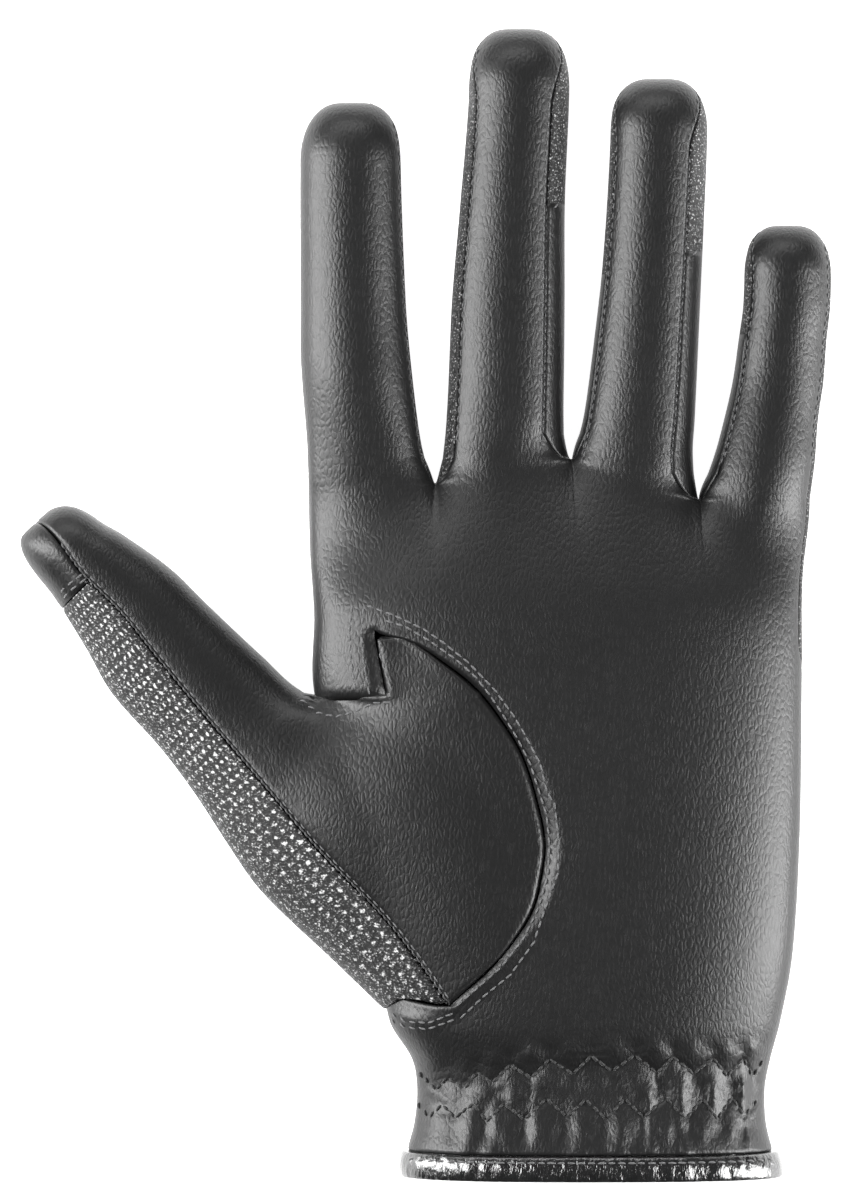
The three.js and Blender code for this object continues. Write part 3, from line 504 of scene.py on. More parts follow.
def column_angle(column, y, edge_x):
    """The angle of a column of the leather, counted in fingers from the left."""
    edge = hand_ring(y).angle(edge_x)
    if column <= QUIRK_COLUMN:
        return mix(WRAP_LEFT, edge, column / QUIRK_COLUMN)
    knuckle = hand_ring(KNUCKLE_Y)
    stops = [knuckle.angle(HOLE_LEFT)] + [knuckle.angle(x) for x, _ in CROTCHES]
    stops.append(side_seam(KNUCKLE_Y))
    finger = min(int(column), COLUMNS - 1)
    start = QUIRK_COLUMN if finger == 0 else finger
    nominal = mix(stops[finger], stops[finger + 1], (column - start) / (finger + 1 - start))
    return mix(edge, side_seam(y), (nominal - stops[0]) / (stops[-1] - stops[0]))


def knuckle_front(index, column, along):
    top = finger_front(index, column - index, 0)
    y = mix(KNUCKLE_Y, top[1], along)
    low = hand_point(column_angle(column, y, HOLE_LEFT), y)
    return mix(low[0], top[0], ease(along)), y, mix(low[2], top[2], along ** 4)


def quirk_strip(column, along):
    """The tongue of leather between the thumb's crotch and the quirk, whose foot is tucked in."""
    y = mix(QUIRK_Y - mix(1.2, 1, column / QUIRK_COLUMN), KNUCKLE_Y, along)
    edge = quirk_x(y) - SEAM_GAP / 2 * ease((KNUCKLE_Y - y) / 2)
    x, y, z = hand_point(column_angle(column, y, edge), y)
    return x, y, max(z - QUIRK_TUCK * (1 - ease(along * 7)), 0)


def palm_main(column, along):
    y = mix(HOLE_BOTTOM, KNUCKLE_Y, along)
    edge = hole_x(y) + SEAM_GAP / 2 * ease((KNUCKLE_Y - y) / 2)
    return hand_point(column_angle(column, y, edge), y)


def wrist_front(column, along):
    """The leather below the ball of the thumb, which tucks under it, and the cuff."""
    tucked = ease(3 * limit(1 - column / QUIRK_COLUMN, 0, 1))
    y = mix(HEM_TOP + SEAM_GAP / 2, HOLE_BOTTOM + 1.4 * tucked, along)
    edge = hole_x(HOLE_BOTTOM) + SEAM_GAP / 2
    x, y, z = hand_point(column_angle(column, y, edge), y)
    return x, y, max(z - BALL_TUCK * tucked * ease(along * 7 - 6), 0)


THUMB_END = FULL_TURN - LEATHER_WRAP - SEAM_GAP / 10


@lru_cache(maxsize=None)
def back_seam():
    """The line on the back where the thumb's outer side meets the back of the hand."""
    top = thumb_place(THUMB_CROTCH, thumb_ring(THUMB_CROTCH).point(THUMB_END)[0])
    foot_y = HOLE_BOTTOM - 3.5
    return top, (hand_ring(foot_y).left + 2.5, foot_y)


def back_point(share, y):
    ring = hand_ring(y)
    (top_x, top_y), (foot_x, foot_y) = back_seam()
    left, right = WRAP_LEFT + WRAP_GAP, FULL_TURN + side_seam(y) - WRAP_GAP
    x, z = ring.point(mix(left, right, share))
    opened = ease((top_y - y) / 3) * ease((y - CUFF_TOP - 2) / 5)
    edge = mix(top_x, foot_x, limit((top_y - y) / (top_y - foot_y), 0, 1)) + SEAM_GAP
    x += (edge - ring.point(left)[0]) * opened * max(0, 1 - 2 * share)
    return x, y, mix(z, 0, opened * max(0, 1 - 4 * share))


def knuckle_back(index, share, along):
    top = finger_back(index, share, 0)
    y = mix(KNUCKLE_Y, top[1], along)
    low = back_point((index + share) / COLUMNS, y)
    return mix(low[0], top[0], ease(along)), y, mix(low[2], top[2], along ** 2)


def thumb_shaft(start, end, low, high):
    def at(share, along):
        station = mix(low, high, along ** 1.5 if low == 0 else along)
        ring = thumb_ring(station)
        x, z = ring.point(mix(start(ring), end(ring), share))
        return (*thumb_place(station, x), z)

    return at


def seam_leather(ring):
    return ring.angle(ring.seam) - SEAM_GAP / 20


def seam_knit(ring):
    return ring.angle(ring.seam) + SEAM_GAP / 20


def ball_edge(share):
    """Along the crotch seam, across the foot of the tongue, then round the ball of the thumb."""
    foot_y = QUIRK_Y - SEAM_GAP / 2
    if share < CROTCH_SHARE:
        x, y = thumb_place(THUMB_CROTCH, thumb_ring(THUMB_CROTCH).right)
        s = share / CROTCH_SHARE
        return mix(x, QUIRK_X + SEAM_GAP, s), mix(y, foot_y, s)
    if share < TONGUE_SHARE:
        s = (share - CROTCH_SHARE) / (TONGUE_SHARE - CROTCH_SHARE)
        return mix(QUIRK_X + SEAM_GAP, ball_x(foot_y), s), foot_y
    y = mix(foot_y, HOLE_BOTTOM, (share - TONGUE_SHARE) / (1 - TONGUE_SHARE))
    return ball_x(y), y


@lru_cache(maxsize=None)
def ball_offset(share):
    """How far the last row of the thumb's shaft lies from the first row of the ball."""
    ring = thumb_ring(THUMB_CROTCH)
    across, z = ring.point(mix(seam_leather(ring), 0, share))
    x, y = thumb_place(THUMB_CROTCH, across)
    seam_x, seam_y = thumb_place(THUMB_CROTCH, ring.seam + SEAM_GAP / 2)
    edge_x, edge_y = ball_edge(0)
    return x - mix(seam_x, edge_x, share), y - mix(seam_y, edge_y, share), z - front_height(x, y)


def ball_point(share, along):
    edge_x, edge_y = ball_edge(along)
    if along < TONGUE_SHARE:
        start = along / TONGUE_SHARE * 0.3
    else:
        start = mix(0.3, 1, (along - TONGUE_SHARE) / (1 - TONGUE_SHARE))
    station = mix(THUMB_CROTCH, THUMB_LENGTH, start)
    seam_x, seam_y = thumb_place(station, thumb_ring(station).seam + SEAM_GAP / 2)
    left = 1 - ease(along / (CROTCH_SHARE - 0.01))
    off_x, off_y, off_z = ball_offset(share)
    x = mix(seam_x, edge_x, share) + off_x * left
    y = mix(seam_y, edge_y, share) + off_y * left
    return x, y, front_height(x, y) + off_z * left


def tongue_point(along, share):
    foot_x, foot_y = ball_edge(mix(CROTCH_SHARE, TONGUE_SHARE, share))
    y = mix(foot_y, HOLE_TOP - 4 * SEAM_GAP, along)
    left, right = quirk_x(y) + SEAM_GAP, ball_x(y)
    x = mix(left, right, 0.5) if along > 0.999 else mix(left, max(right, left), share)
    x = mix(foot_x, x, min(along * 8, 1))
    return x, y, front_height(x, y)


def thumb_knit_base(share, along):
    end = mix(THUMB_LENGTH - 1, THUMB_LENGTH - 7.5, ease(share * 3))
    station = mix(THUMB_CROTCH, end, along)
    ring = thumb_ring(station)
    (top_x, top_y), foot = back_seam()
    foot_station, foot_across = thumb_station(*foot)
    opened = limit((station - THUMB_CROTCH) / (foot_station - THUMB_CROTCH), 0, 1)
    edge = mix(thumb_station(top_x, top_y)[1], foot_across, opened)
    x, z = ring.point(mix(seam_knit(ring), FULL_TURN - ring.angle(edge), share))
    return (*thumb_place(station, x), z)


def clustered(share):
    """Brings columns close together at the two seams of a finger."""
    return share - 0.6 * math.sin(FULL_TURN * share) / FULL_TURN


def tight(share):
    """Brings rows close together at the end of a patch."""
    return 1 - (1 - share) ** 1.25


def patch_mesh(patches):
    """Joins grids that share their borders into one bmesh, in metres."""
    joined = bmesh.new()
    uv = joined.loops.layers.uv.new("UVMap")
    for across, along, at in patches:
        made = bmesh.ops.create_grid(
            joined, x_segments=across, y_segments=along, size=0.5, calc_uvs=False
        )
        for vert in made["verts"]:
            u, v = vert.co.x + 0.5, vert.co.y + 0.5
            vert.co = Vector(at(limit(u, 0, 1), limit(v, 0, 1))) * MM
    bmesh.ops.remove_doubles(joined, verts=joined.verts, dist=0.00001)
    bmesh.ops.dissolve_degenerate(joined, edges=joined.edges, dist=0.000002)
    bmesh.ops.recalc_face_normals(joined, faces=joined.faces)
    for face in joined.faces:
        for loop in face.loops:
            loop[uv].uv = (loop.vert.co.x / MM, loop.vert.co.y / MM)
    return joined


def face_outwards(made, up):
    """Turns a sheet so that its faces point out, away from the middle of the glove."""
    total = sum(face.normal.z * face.calc_area() for face in made.faces)
    if (total > 0) != up:
        bmesh.ops.reverse_faces(made, faces=made.faces)


def roll_edges(made, depth, reach):
    """Rolls the borders of a sheet down into their seams."""
    made.normal_update()
    edge = [v for v in made.verts if v.is_boundary]
    tree = KDTree(len(edge))
    for i, vert in enumerate(edge):
        tree.insert(vert.co, i)
    tree.balance()
    moves = []
    for vert in made.verts:
        away = tree.find(vert.co)[2] / (reach * MM)
        if away < 1:
            moves.append((vert, vert.normal * (-depth * MM * (1 - away) ** 2)))
    for vert, move in moves:
        vert.co += move
        vert.co.z = max(vert.co.z, 0)


def placed(name, data):
    """An object at the origin that holds this data."""
    item = bpy.data.objects.new(name, data)
    bpy.context.scene.collection.objects.link(item)
    return item


def placed_mesh(name, made, material):
    mesh = bpy.data.meshes.new(name)
    made.to_mesh(mesh)
    made.free()
    mesh.materials.append(material)
    mesh.shade_smooth()
    return placed(name, mesh)


def finished(name, made, material, nodes=(), wall=0.0):
    """Makes the object of a piece, with its wall in metres and its material, hangs it on the root
    body and hides the parts of model.glb that it replaces.
    """
    piece = placed_mesh(name, made, material)
    if wall:
        solid = piece.modifiers.new("wall", "SOLIDIFY")
        solid.thickness = wall
        solid.offset = -1
        solid.use_even_offset = False
    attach(piece, "root")
    if nodes:
        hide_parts(*nodes)


def sewn(name, made, finish, node, wall, up=False, depth=0.3, reach=1.1):
    """Finishes a sheet that is sewn in: turned outwards, with its borders rolled down."""
    face_outwards(made, up)
    roll_edges(made, depth, reach)
    finished(name, made, material(finish), [node], wall)


class Nodes:
    """Short calls for building a material's node tree."""

    def __init__(self, name):
        self.material = bpy.data.materials.new(name)
        self.material.use_nodes = True
        self.tree = self.material.node_tree
        self.shader = self.tree.nodes["Principled BSDF"]

    def fill(self, node, inputs):
        """Sets the inputs of a node to numbers, or links them to other nodes."""
        for socket, value in inputs.items():
            if isinstance(value, bpy.types.NodeSocket):
                self.tree.links.new(value, node.inputs[socket])
            else:
                node.inputs[socket].default_value = value

    def shade(self, **inputs):
        self.fill(self.shader, {key.replace("_", " "): value for key, value in inputs.items()})

    def new(self, kind, inputs, **settings):
        node = self.tree.nodes.new(kind)
        for key, value in settings.items():
            setattr(node, key, value)
        self.fill(node, inputs)
        return node

    def mapping(self, vector, scale=(1, 1, 1), turn=(0, 0, 0)):
        inputs = {"Vector": vector, "Scale": scale, "Rotation": turn}
        return self.new("ShaderNodeMapping", inputs).outputs["Vector"]

    def coords(self, source="Object", **placing):
        texture = self.new("ShaderNodeTexCoord", {})
        return self.mapping(texture.outputs[source], **placing)

    def noise(self, vector, scale, detail=3, rough=0.5):
        inputs = {"Vector": vector, "Scale": scale, "Detail": detail, "Roughness": rough}
        return self.new("ShaderNodeTexNoise", inputs).outputs["Fac"]

    def cells(self, vector, scale, feature="F1", randomness=1.0):
        inputs = {"Vector": vector, "Scale": scale, "Randomness": randomness}
        return self.new("ShaderNodeTexVoronoi", inputs, feature=feature).outputs["Distance"]

    def math(self, operation, *values):
        inputs = dict(enumerate(values))
        return self.new("ShaderNodeMath", inputs, operation=operation).outputs["Value"]

    def ramp(self, factor, *stops):
        node = self.new("ShaderNodeValToRGB", {"Fac": factor})
        for element, (place, grey) in zip(node.color_ramp.elements, stops):
            element.position = place
            element.color = (grey, grey, grey * 1.02, 1)
        return node.outputs["Color"]

    def bump(self, height, strength, distance, **below):
        inputs = {"Height": height, "Strength": strength, "Distance": distance, **below}
        return self.new("ShaderNodeBump", inputs).outputs["Normal"]


def leather_material(name, tone, roughness, grain=1.0):
    """Dark leather with fine creases that run along the hand, pores and soft dents."""
    n = Nodes(name)
    place = n.coords()
    warp = {0: n.noise(place, 240, 2), 1: (0.0012, 0.0012, 0.0012), 2: place}
    shifted = n.new("ShaderNodeVectorMath", warp, operation="MULTIPLY_ADD").outputs[0]
    crackle = n.cells(n.mapping(shifted, scale=(1.3, 0.62, 1)), 900, "DISTANCE_TO_EDGE")
    fine = n.noise(place, 3200, 3, 0.6)
    broad = n.noise(place, 90, 3, 0.6)
    creased = n.bump(n.ramp(crackle, (0.0, 0.0), (0.3, 1.0)), 0.26 * grain, 0.00014)
    pored = n.bump(fine, 0.2 * grain, 0.00008, Normal=creased)
    n.shade(
        Base_Color=n.ramp(broad, (0.3, tone * 0.85), (0.7, tone * 1.15)),
        Normal=n.bump(broad, 0.12, 0.0006, Normal=pored),
        Roughness=n.math("MULTIPLY_ADD", fine, 0.16, roughness - 0.08),
        Specular_IOR_Level=0.42,
    )
    return n.material


def knit_material(name, dotted=False):
    """A bumpy black knit whose fibre tops are painted light grey as painted highlight, and on the
    thumb with rows of light dots.
    """
    n = Nodes(name)
    turn = THUMB_LEAN if dotted else 0
    threads = n.noise(n.coords(turn=(0, 0, turn + 0.5), scale=(1, 1.7, 1)), 1500, 2, 0.8)
    loops = n.cells(n.coords(turn=(0, 0, turn)), 1900)
    height = n.math("ADD", n.math("MULTIPLY", loops, -0.35), threads)
    if dotted:
        wrapped = n.coords("UV", scale=(0.95, 1.1, 1))
        across = n.new("ShaderNodeSeparateXYZ", {"Vector": wrapped}).outputs["Y"]
        band = n.ramp(n.math("MULTIPLY", across, 0.0125), (0.34, 0.0), (0.42, 1.0))
        band.node.color_ramp.elements.new(0.62).color = (0.35, 0.35, 0.35, 1)
        dots = n.ramp(n.cells(wrapped, 0.52, randomness=0.12), (0.14, 0.32), (0.3, 0.0))
        height = n.math("ADD", height, n.math("MULTIPLY", dots, band))
    # The tone follows the height: black in the gaps, grey to near white on the tops of the fibres,
    # which is painted highlight.
    tone = n.ramp(height, (0.25, 0.001), (0.4, 0.025))
    for stop, grey in ((0.48, 0.16), (0.62, 0.6)):
        tone.node.color_ramp.elements.new(stop).color = (grey, grey, grey, 1)
    normal = n.bump(height, 0.8, 0.0003)
    n.shade(Base_Color=tone, Normal=normal, Roughness=0.6, Specular_IOR_Level=0.4)
    return n.material


def patent_material(name):
    """Black glossy leather with wrinkles that run across the binding."""
    n = Nodes(name)
    wrinkles = n.noise(n.coords(scale=(1, 0.4, 1)), 700, 3, 0.55)
    n.shade(
        Base_Color=n.ramp(wrinkles, (0.3, 0.004), (0.7, 0.009)),
        Normal=n.bump(wrinkles, 0.6, 0.0009),
        Roughness=0.24, Specular_IOR_Level=0.85, Coat_Weight=0.6, Coat_Roughness=0.14,
    )
    return n.material


def thread_material(name, tone):
    n = Nodes(name)
    twist = n.noise(n.coords(scale=(1, 1, 3)), 2600, 2)
    colour = n.ramp(twist, (0.3, tone * 0.6), (0.7, tone * 1.4))
    n.shade(
        Base_Color=colour, Normal=n.bump(twist, 0.5, 0.0001), Roughness=0.6, Sheen_Weight=0.2
    )
    return n.material


class GloveSizes(bpy.types.PropertyGroup):
    wall: bpy.props.FloatProperty(
        name="Wall", description="Thickness of the leather", default=0.0011, unit="LENGTH"
    )
    detail: bpy.props.IntProperty(
        name="Columns", description="Columns of faces across a finger", default=34, min=8
    )
    stitch_pitch: bpy.props.FloatProperty(
        name="Stitch", description="Pitch of the topstitching", default=0.002, unit="LENGTH"
    )
    thread_thickness: bpy.props.FloatProperty(
        name="Thread", description="Thickness of the thread", default=0.0004, unit="LENGTH"
    )


class GloveColours(bpy.types.PropertyGroup):
    leather_tone: bpy.props.FloatProperty(
        name="Leather tone", description="Grey of the leather", default=0.006,
        min=0, max=1, subtype="FACTOR",
    )
    leather_roughness: bpy.props.FloatProperty(
        name="Leather roughness", description="Roughness of the leather", default=0.4,
        min=0, max=1, subtype="FACTOR",
    )
    thread_tone: bpy.props.FloatProperty(
        name="Thread tone", description="Grey of the zigzag thread", default=0.005,
        min=0, max=1, subtype="FACTOR",
    )


MATERIALS = {}


def material(kind):
    """Each finish is made once, and shared by its pieces."""
    colours = bpy.context.scene.glove_colours
    tone, rough, thread = colours.leather_tone, colours.leather_roughness, colours.thread_tone
    makers = {
        "leather": (leather_material, tone, rough),
        # The thumb's leather is a darker copy of the same leather: painted shade on the ball and
        # tip of the thumb.
        "thumb": (leather_material, tone * 0.7, rough, 0.9),
        # The folded edges are real ridges, but their light grey, far lighter than the leather, is
        # painted highlight along the seams.
        "folded_edge": (leather_material, 0.05, 0.4),
        "knit": (knit_material,),
        "open_knit": (knit_material, True),
        "patent": (patent_material,),
        "thread": (thread_material, thread),
        # The topstitching thread is eighteen times lighter than the zigzag thread: its grey is
        # painted highlight on the stitches.
        "topstitch": (thread_material, thread * 18),
    }
    if kind not in MATERIALS:
        make, *values = makers[kind]
        MATERIALS[kind] = make(kind, *values)
    return MATERIALS[kind]


def leather_column(place, quirk):
    """Moves an evenly counted column towards the seams, and the quirk to QUIRK_COLUMN."""
    whole = min(int(place + 1e-6), COLUMNS - 1)
    drawn = whole + clustered(place - whole)
    left = clustered(quirk)
    if drawn <= left:
        return drawn / left * QUIRK_COLUMN
    if drawn < 1:
        return mix(QUIRK_COLUMN, 1, (drawn - left) / (1 - left))
    return drawn


def settle(made, weight, times):
    """Smooths the heights of a sheet where weight(x, y) says so."""
    made.normal_update()
    inner = []
    for vert in made.verts:
        share = 0 if vert.is_boundary else weight(vert.co.x / MM, vert.co.y / MM)
        if share > 0:
            inner.append((vert, vert.co.z, share * ease((abs(vert.normal.z) - 0.15) / 0.8)))
    for _ in range(times):
        bmesh.ops.smooth_vert(
            made, verts=[row[0] for row in inner], factor=0.5,
            use_axis_x=False, use_axis_y=False, use_axis_z=True,
        )
    for vert, height, share in inner:
        vert.co.z = mix(height, vert.co.z, share)


def knuckle_weight(x, y):
    return ease((y + 4) / 16) * ease((48 - y) / 24) * ease((68 - x) / 14)


def thumb_crotch_weight(x, y):
    return ease(1.3 - abs(thumb_station(x, y)[0] - THUMB_CROTCH) / 18)


def over_edge(ring):
    return -LEATHER_WRAP


def round_edge(ring):
    return 0.0


def outer_end(ring):
    return THUMB_END


class GLOVE_OT_palm(bpy.types.Operator):
    """Adds the leather front of the hand and fingers"""
    bl_idname = "glove.palm"
    bl_label = "Palm Leather"

    def execute(self, context):
        sizes = context.scene.glove_sizes
        n = sizes.detail
        total = n * COLUMNS
        strip = round(n * QUIRK_COLUMN)
        quirk = strip / n

        def column(place):
            return leather_column(place, quirk)

        patches = [
            (strip, 14, lambda u, v: quirk_strip(column(quirk * u), v)),
            (total - strip, 84, lambda u, v: palm_main(column(mix(quirk, COLUMNS, u)), v)),
            (total, 84, lambda u, v: wrist_front(column(COLUMNS * u), v)),
        ]
        for i in range(COLUMNS):
            patches += [
                (n, 110, lambda u, v, i=i: finger_front(i, column(i + u) - i, v)),
                (n, 34, lambda u, v, i=i: knuckle_front(i, column(i + u), tight(v))),
            ]
        made = patch_mesh(patches)
        settle(made, knuckle_weight, 80)
        sewn("palm_leather", made, "leather", "palm_panel", sizes.wall, up=True, reach=0.8)
        return {"FINISHED"}


class GLOVE_OT_thumb(bpy.types.Operator):
    """Adds the leather front of the thumb with its ball, and the leather cap of its tip"""
    bl_idname = "glove.thumb"
    bl_label = "Thumb Leather"

    def execute(self, context):
        wall = context.scene.glove_sizes.wall
        made = patch_mesh([
            (40, 100, thumb_shaft(seam_leather, round_edge, 0, THUMB_CROTCH)),
            (12, 100, thumb_shaft(round_edge, over_edge, 0, THUMB_CROTCH)),
            (40, 12, lambda u, v: ball_point(u, v * CROTCH_SHARE)),
            (40, 20, lambda u, v: ball_point(u, mix(CROTCH_SHARE, TONGUE_SHARE, v))),
            (40, 62, lambda u, v: ball_point(u, mix(TONGUE_SHARE, 1, v))),
            (20, 16, lambda u, v: tongue_point(v, u)),
        ])
        settle(made, thumb_crotch_weight, 260)
        # Both thumb pieces take the darker copy of the leather, which is painted shade.
        sewn("thumb_leather", made, "thumb", "thumb_front", wall, up=True, depth=0.55)
        cap = patch_mesh([(50, 40, thumb_shaft(seam_knit, outer_end, 0, THUMB_TIP_LEATHER))])
        sewn("thumb_cap", cap, "thumb", "thumb_tip", wall, depth=0.2)
        return {"FINISHED"}


def wrap_uv(made):
    """Lays the UV map round the thumb in millimetres, along it and across it."""
    uv = made.loops.layers.uv.active
    for face in made.faces:
        for loop in face.loops:
            x, y, z = loop.vert.co / MM
            station, across = thumb_station(x, y)
            ring = thumb_ring(round(station, 2))
            turn = math.atan2(z - ring.level, across - ring.middle) % FULL_TURN
            loop[uv].uv = (station, turn * THUMB_WIDTH / 2)


class GLOVE_OT_thumb_knit(bpy.types.Operator):
    """Adds the open knit on the outer side of the thumb"""
    bl_idname = "glove.thumb_knit"
    bl_label = "Thumb Knit"

    def execute(self, context):
        low = THUMB_TIP_LEATHER + SEAM_GAP
        made = patch_mesh([
            (90, 110, thumb_shaft(seam_knit, outer_end, low, THUMB_CROTCH)),
            (90, 140, thumb_knit_base),
        ])
        wrap_uv(made)
        sewn("thumb_knit", made, "open_knit", "thumb_mesh", KNIT_WALL * MM, depth=0.35)
        return {"FINISHED"}


class GLOVE_OT_back(bpy.types.Operator):
    """Adds the knitted back of the hand and fingers, and the leather back of the cuff"""
    bl_idname = "glove.back"
    bl_label = "Back"

    def execute(self, context):
        wall = context.scene.glove_sizes.wall
        patches = []
        for i in range(COLUMNS):
            patches.append((20, 80, lambda u, v, i=i: finger_back(i, u, v)))
            patches.append((20, 20, lambda u, v, i=i: knuckle_back(i, u, v)))
        total = 20 * COLUMNS
        top = CUFF_TOP + SEAM_GAP / 2
        patches.append((total, 50, lambda u, v: back_point(u, mix(HOLE_BOTTOM, KNUCKLE_Y, v))))
        patches.append((total, 8, lambda u, v: back_point(u, mix(top, HOLE_BOTTOM, v))))
        sewn("back_knit", patch_mesh(patches), "knit", "back_panel", KNIT_WALL * MM)
        low = HEM_TOP + SEAM_GAP / 2
        cuff = patch_mesh([(total, 30, lambda u, v: back_point(u, mix(low, top - SEAM_GAP, v)))])
        sewn("cuff_leather", cuff, "leather", "cuff_back", wall)
        return {"FINISHED"}


def hem_point(share, along, inside):
    """The bound hem is folded round the edge of the leather, with ripples and a pinch in front."""
    y = mix(HEM_Y, HEM_TOP - SEAM_GAP / 2, along)
    bulge = HEM_BULGE * math.sin(along * math.pi) ** 0.6
    inset = mix(-HEM_PROUD - bulge, HEM_THICK - HEM_PROUD, inside)
    x, z = hand_ring(y).point(-share * FULL_TURN, inset)
    if not inside:
        front = max(math.sin(-share * FULL_TURN), 0)
        pinch = PINCH_DEPTH * bell(x - PINCH_X, PINCH_WIDTH) * front
        ripple = math.sin(x * 1.9) + 0.6 * math.sin(x * 3.7 + 1) + 0.5 * math.sin(x * 0.9 + 2)
        z += (HEM_RIPPLE * ripple * math.sin(along * math.pi) - pinch) * front
    return x, y, max(z, 0.0)


class GLOVE_OT_binding(bpy.types.Operator):
    """Adds the glossy binding round the wrist opening"""
    bl_idname = "glove.binding"
    bl_label = "Wrist Binding"

    def execute(self, context):
        made = patch_mesh([
            (300, 16, lambda u, v: hem_point(u, v, 0)),
            (300, 5, lambda u, v: hem_point(u, 0, v)),
            (300, 5, lambda u, v: hem_point(u, 1, v)),
            (300, 8, lambda u, v: hem_point(u, v, 1)),
        ])
        bmesh.ops.recalc_face_normals(made, faces=made.faces)
        if made.calc_volume(signed=True) < 0:
            bmesh.ops.reverse_faces(made, faces=made.faces)
        finished("hem_binding", made, material("patent"), ["wrist_binding"])
        return {"FINISHED"}


def strip_patches(index, side, low=None, high=None):
    """A strip on one side of a finger, from its crotch to its tip where no place is given."""
    finger = FINGERS[index]
    low = CROTCHES[finger["right"] if side > 0 else finger["left"]][1] if low is None else low
    high = finger["tip"] - SIDE_TIP_GAP if high is None else high
    rows = max(8, round((high - low) * 1.2))
    return (14, rows, lambda u, v: finger_side(index, side, u, mix(low, high, v ** 1.5)))


# Name, the node it replaces, material, and strips as finger, side, lowest and highest place.
SIDE_STRIPS = (
    ("side_index", "side_index_middle", "knit", ((0, 1), (1, -1))),
    ("side_middle", "side_middle_ring", "leather",
     ((1, 1, None, MESH_BEGINS["middle"]), (2, -1, None, MESH_BEGINS["ring_left"]))),
    ("side_ring", "side_ring_little", "leather",
     ((2, 1, None, MESH_BEGINS["ring_right"]), (3, -1, None, MESH_BEGINS["little"]))),
    ("side_middle_knit", "side_middle_upper", "knit", ((1, 1, MESH_BEGINS["middle"]),)),
    ("side_ring_knit_left", "side_ring_upper_left", "knit", ((2, -1, MESH_BEGINS["ring_left"]),)),
    ("side_ring_knit_right", "side_ring_upper_right", "knit",
     ((2, 1, MESH_BEGINS["ring_right"]),)),
    ("side_little_knit", "side_little_upper", "knit", ((3, -1, MESH_BEGINS["little"]),)),
)


def turn_from_fingers(made):
    """Turns strips so that their faces point away from the middle of their own finger."""
    made.normal_update()
    total = 0.0
    for face in made.faces:
        centre = face.calc_center_median() / MM
        rings = [finger_ring(i, round(centre.y, 1)).middle for i in range(COLUMNS)
                 if centre.y < FINGERS[i]["tip"]]
        nearest = min(rings, key=lambda x: abs(x - centre.x))
        total += face.normal.x * (centre.x - nearest) * face.calc_area()
    if total < 0:
        bmesh.ops.reverse_faces(made, faces=made.faces)


class GLOVE_OT_sides(bpy.types.Operator):
    """Adds the strips between the front and the back of the fingers"""
    bl_idname = "glove.sides"
    bl_label = "Finger Sides"

    def execute(self, context):
        for name, node, kind, strips in SIDE_STRIPS:
            made = patch_mesh([strip_patches(*strip) for strip in strips])
            bmesh.ops.recalc_face_normals(made, faces=made.faces)
            turn_from_fingers(made)
            finished(name, made, material(kind), [node], SIDE_WALL * MM)
        return {"FINISHED"}


# Rows of topstitching as seen from the front.
ROWS = (
    picture((366, 605), (394, 615), (424, 629), (443, 642), (468, 662), (494, 689), (513, 715),
            (522, 730), (539, 762), (545, 788), (553, 803), (557, 838), (556, 870), (544, 903),
            (532, 938), (509, 970), (483, 991), (459, 1014)),
    picture((385, 620), (405, 626), (429, 640), (456, 659), (475, 676), (490, 695), (505, 718),
            (517, 738), (529, 762), (538, 790), (545, 812), (548, 842), (546, 872), (537, 903),
            (523, 932), (500, 962), (474, 985), (455, 1002)),
    picture((353, 604), (350, 630), (351, 655), (356, 690)),
    picture((364, 606), (362, 632), (364, 660), (370, 694)),
    picture((380, 640), (381, 655), (386, 672), (392, 690)),
    picture((300, 698), (318, 712), (336, 716), (355, 711), (374, 702), (392, 701)),
    picture((389, 1017), (407, 1024), (429, 1024), (455, 1014)),
    picture((390, 1011), (407, 1018), (429, 1018), (453, 1008)),
    picture((88, 578), (72, 590), (62, 600)),
    picture((85, 573), (69, 585), (59, 594)),
    picture((552, 200), (567, 194)), picture((552, 208), (567, 202)),
    picture((690, 246), (708, 238)), picture((690, 255), (708, 247)),
    picture((406, 1154), (772, 1154)),
)


STITCH_SIDES, STITCH_CUTS = 6, 4
FOLD_THICKNESS = 0.5
# Seams as finger and side.
FINGER_SEAMS = ((0, 1), (1, -1), (1, 1), (2, -1), (2, 1), (3, -1), (3, 1))
FOLDED_SEAMS = ((1, 1), (2, 1), (2, -1), (3, -1))

FRONT_PIECES = (
    "palm_leather", "thumb_leather", "thumb_cap", "thumb_knit", "hem_binding", "side_middle",
    "side_ring",
)


def along_line(points, step):
    """Evenly spaced places on a line, each with the direction of the line there."""
    lengths = [math.dist(a, b) for a, b in zip(points, points[1:])]
    total = sum(lengths)
    count = max(1, round(total / step))
    for k in range(count):
        left = (k + 0.5) * total / count
        for (a, b), length in zip(zip(points, points[1:]), lengths):
            if left <= length:
                break
            left -= length
        share = min(left / length, 1)
        yield tuple(mix(p, q, share) for p, q in zip(a, b)), tuple(
            (q - p) / length for p, q in zip(a, b))


def stitch_shape():
    """A stitch of unit length and thickness along Z, which sinks into the leather at its ends."""
    made = bmesh.new()
    bmesh.ops.create_cone(
        made, cap_ends=True, segments=STITCH_SIDES, radius1=0.5, radius2=0.5, depth=1
    )
    lengthwise = [edge for edge in made.edges if edge.calc_length() > 0.9]
    bmesh.ops.subdivide_edges(made, edges=lengthwise, cuts=STITCH_CUTS)
    for vert in made.verts:
        t = 2 * vert.co.z
        t *= 1.5 - 0.5 * t * t
        size = 1 - 0.55 * t * t
        vert.co = (vert.co.x * size + 0.3 - 0.75 * t * t, vert.co.y * size, t / 2)
    shape = bpy.data.meshes.new("stitch")
    made.to_mesh(shape)
    made.free()
    return shape


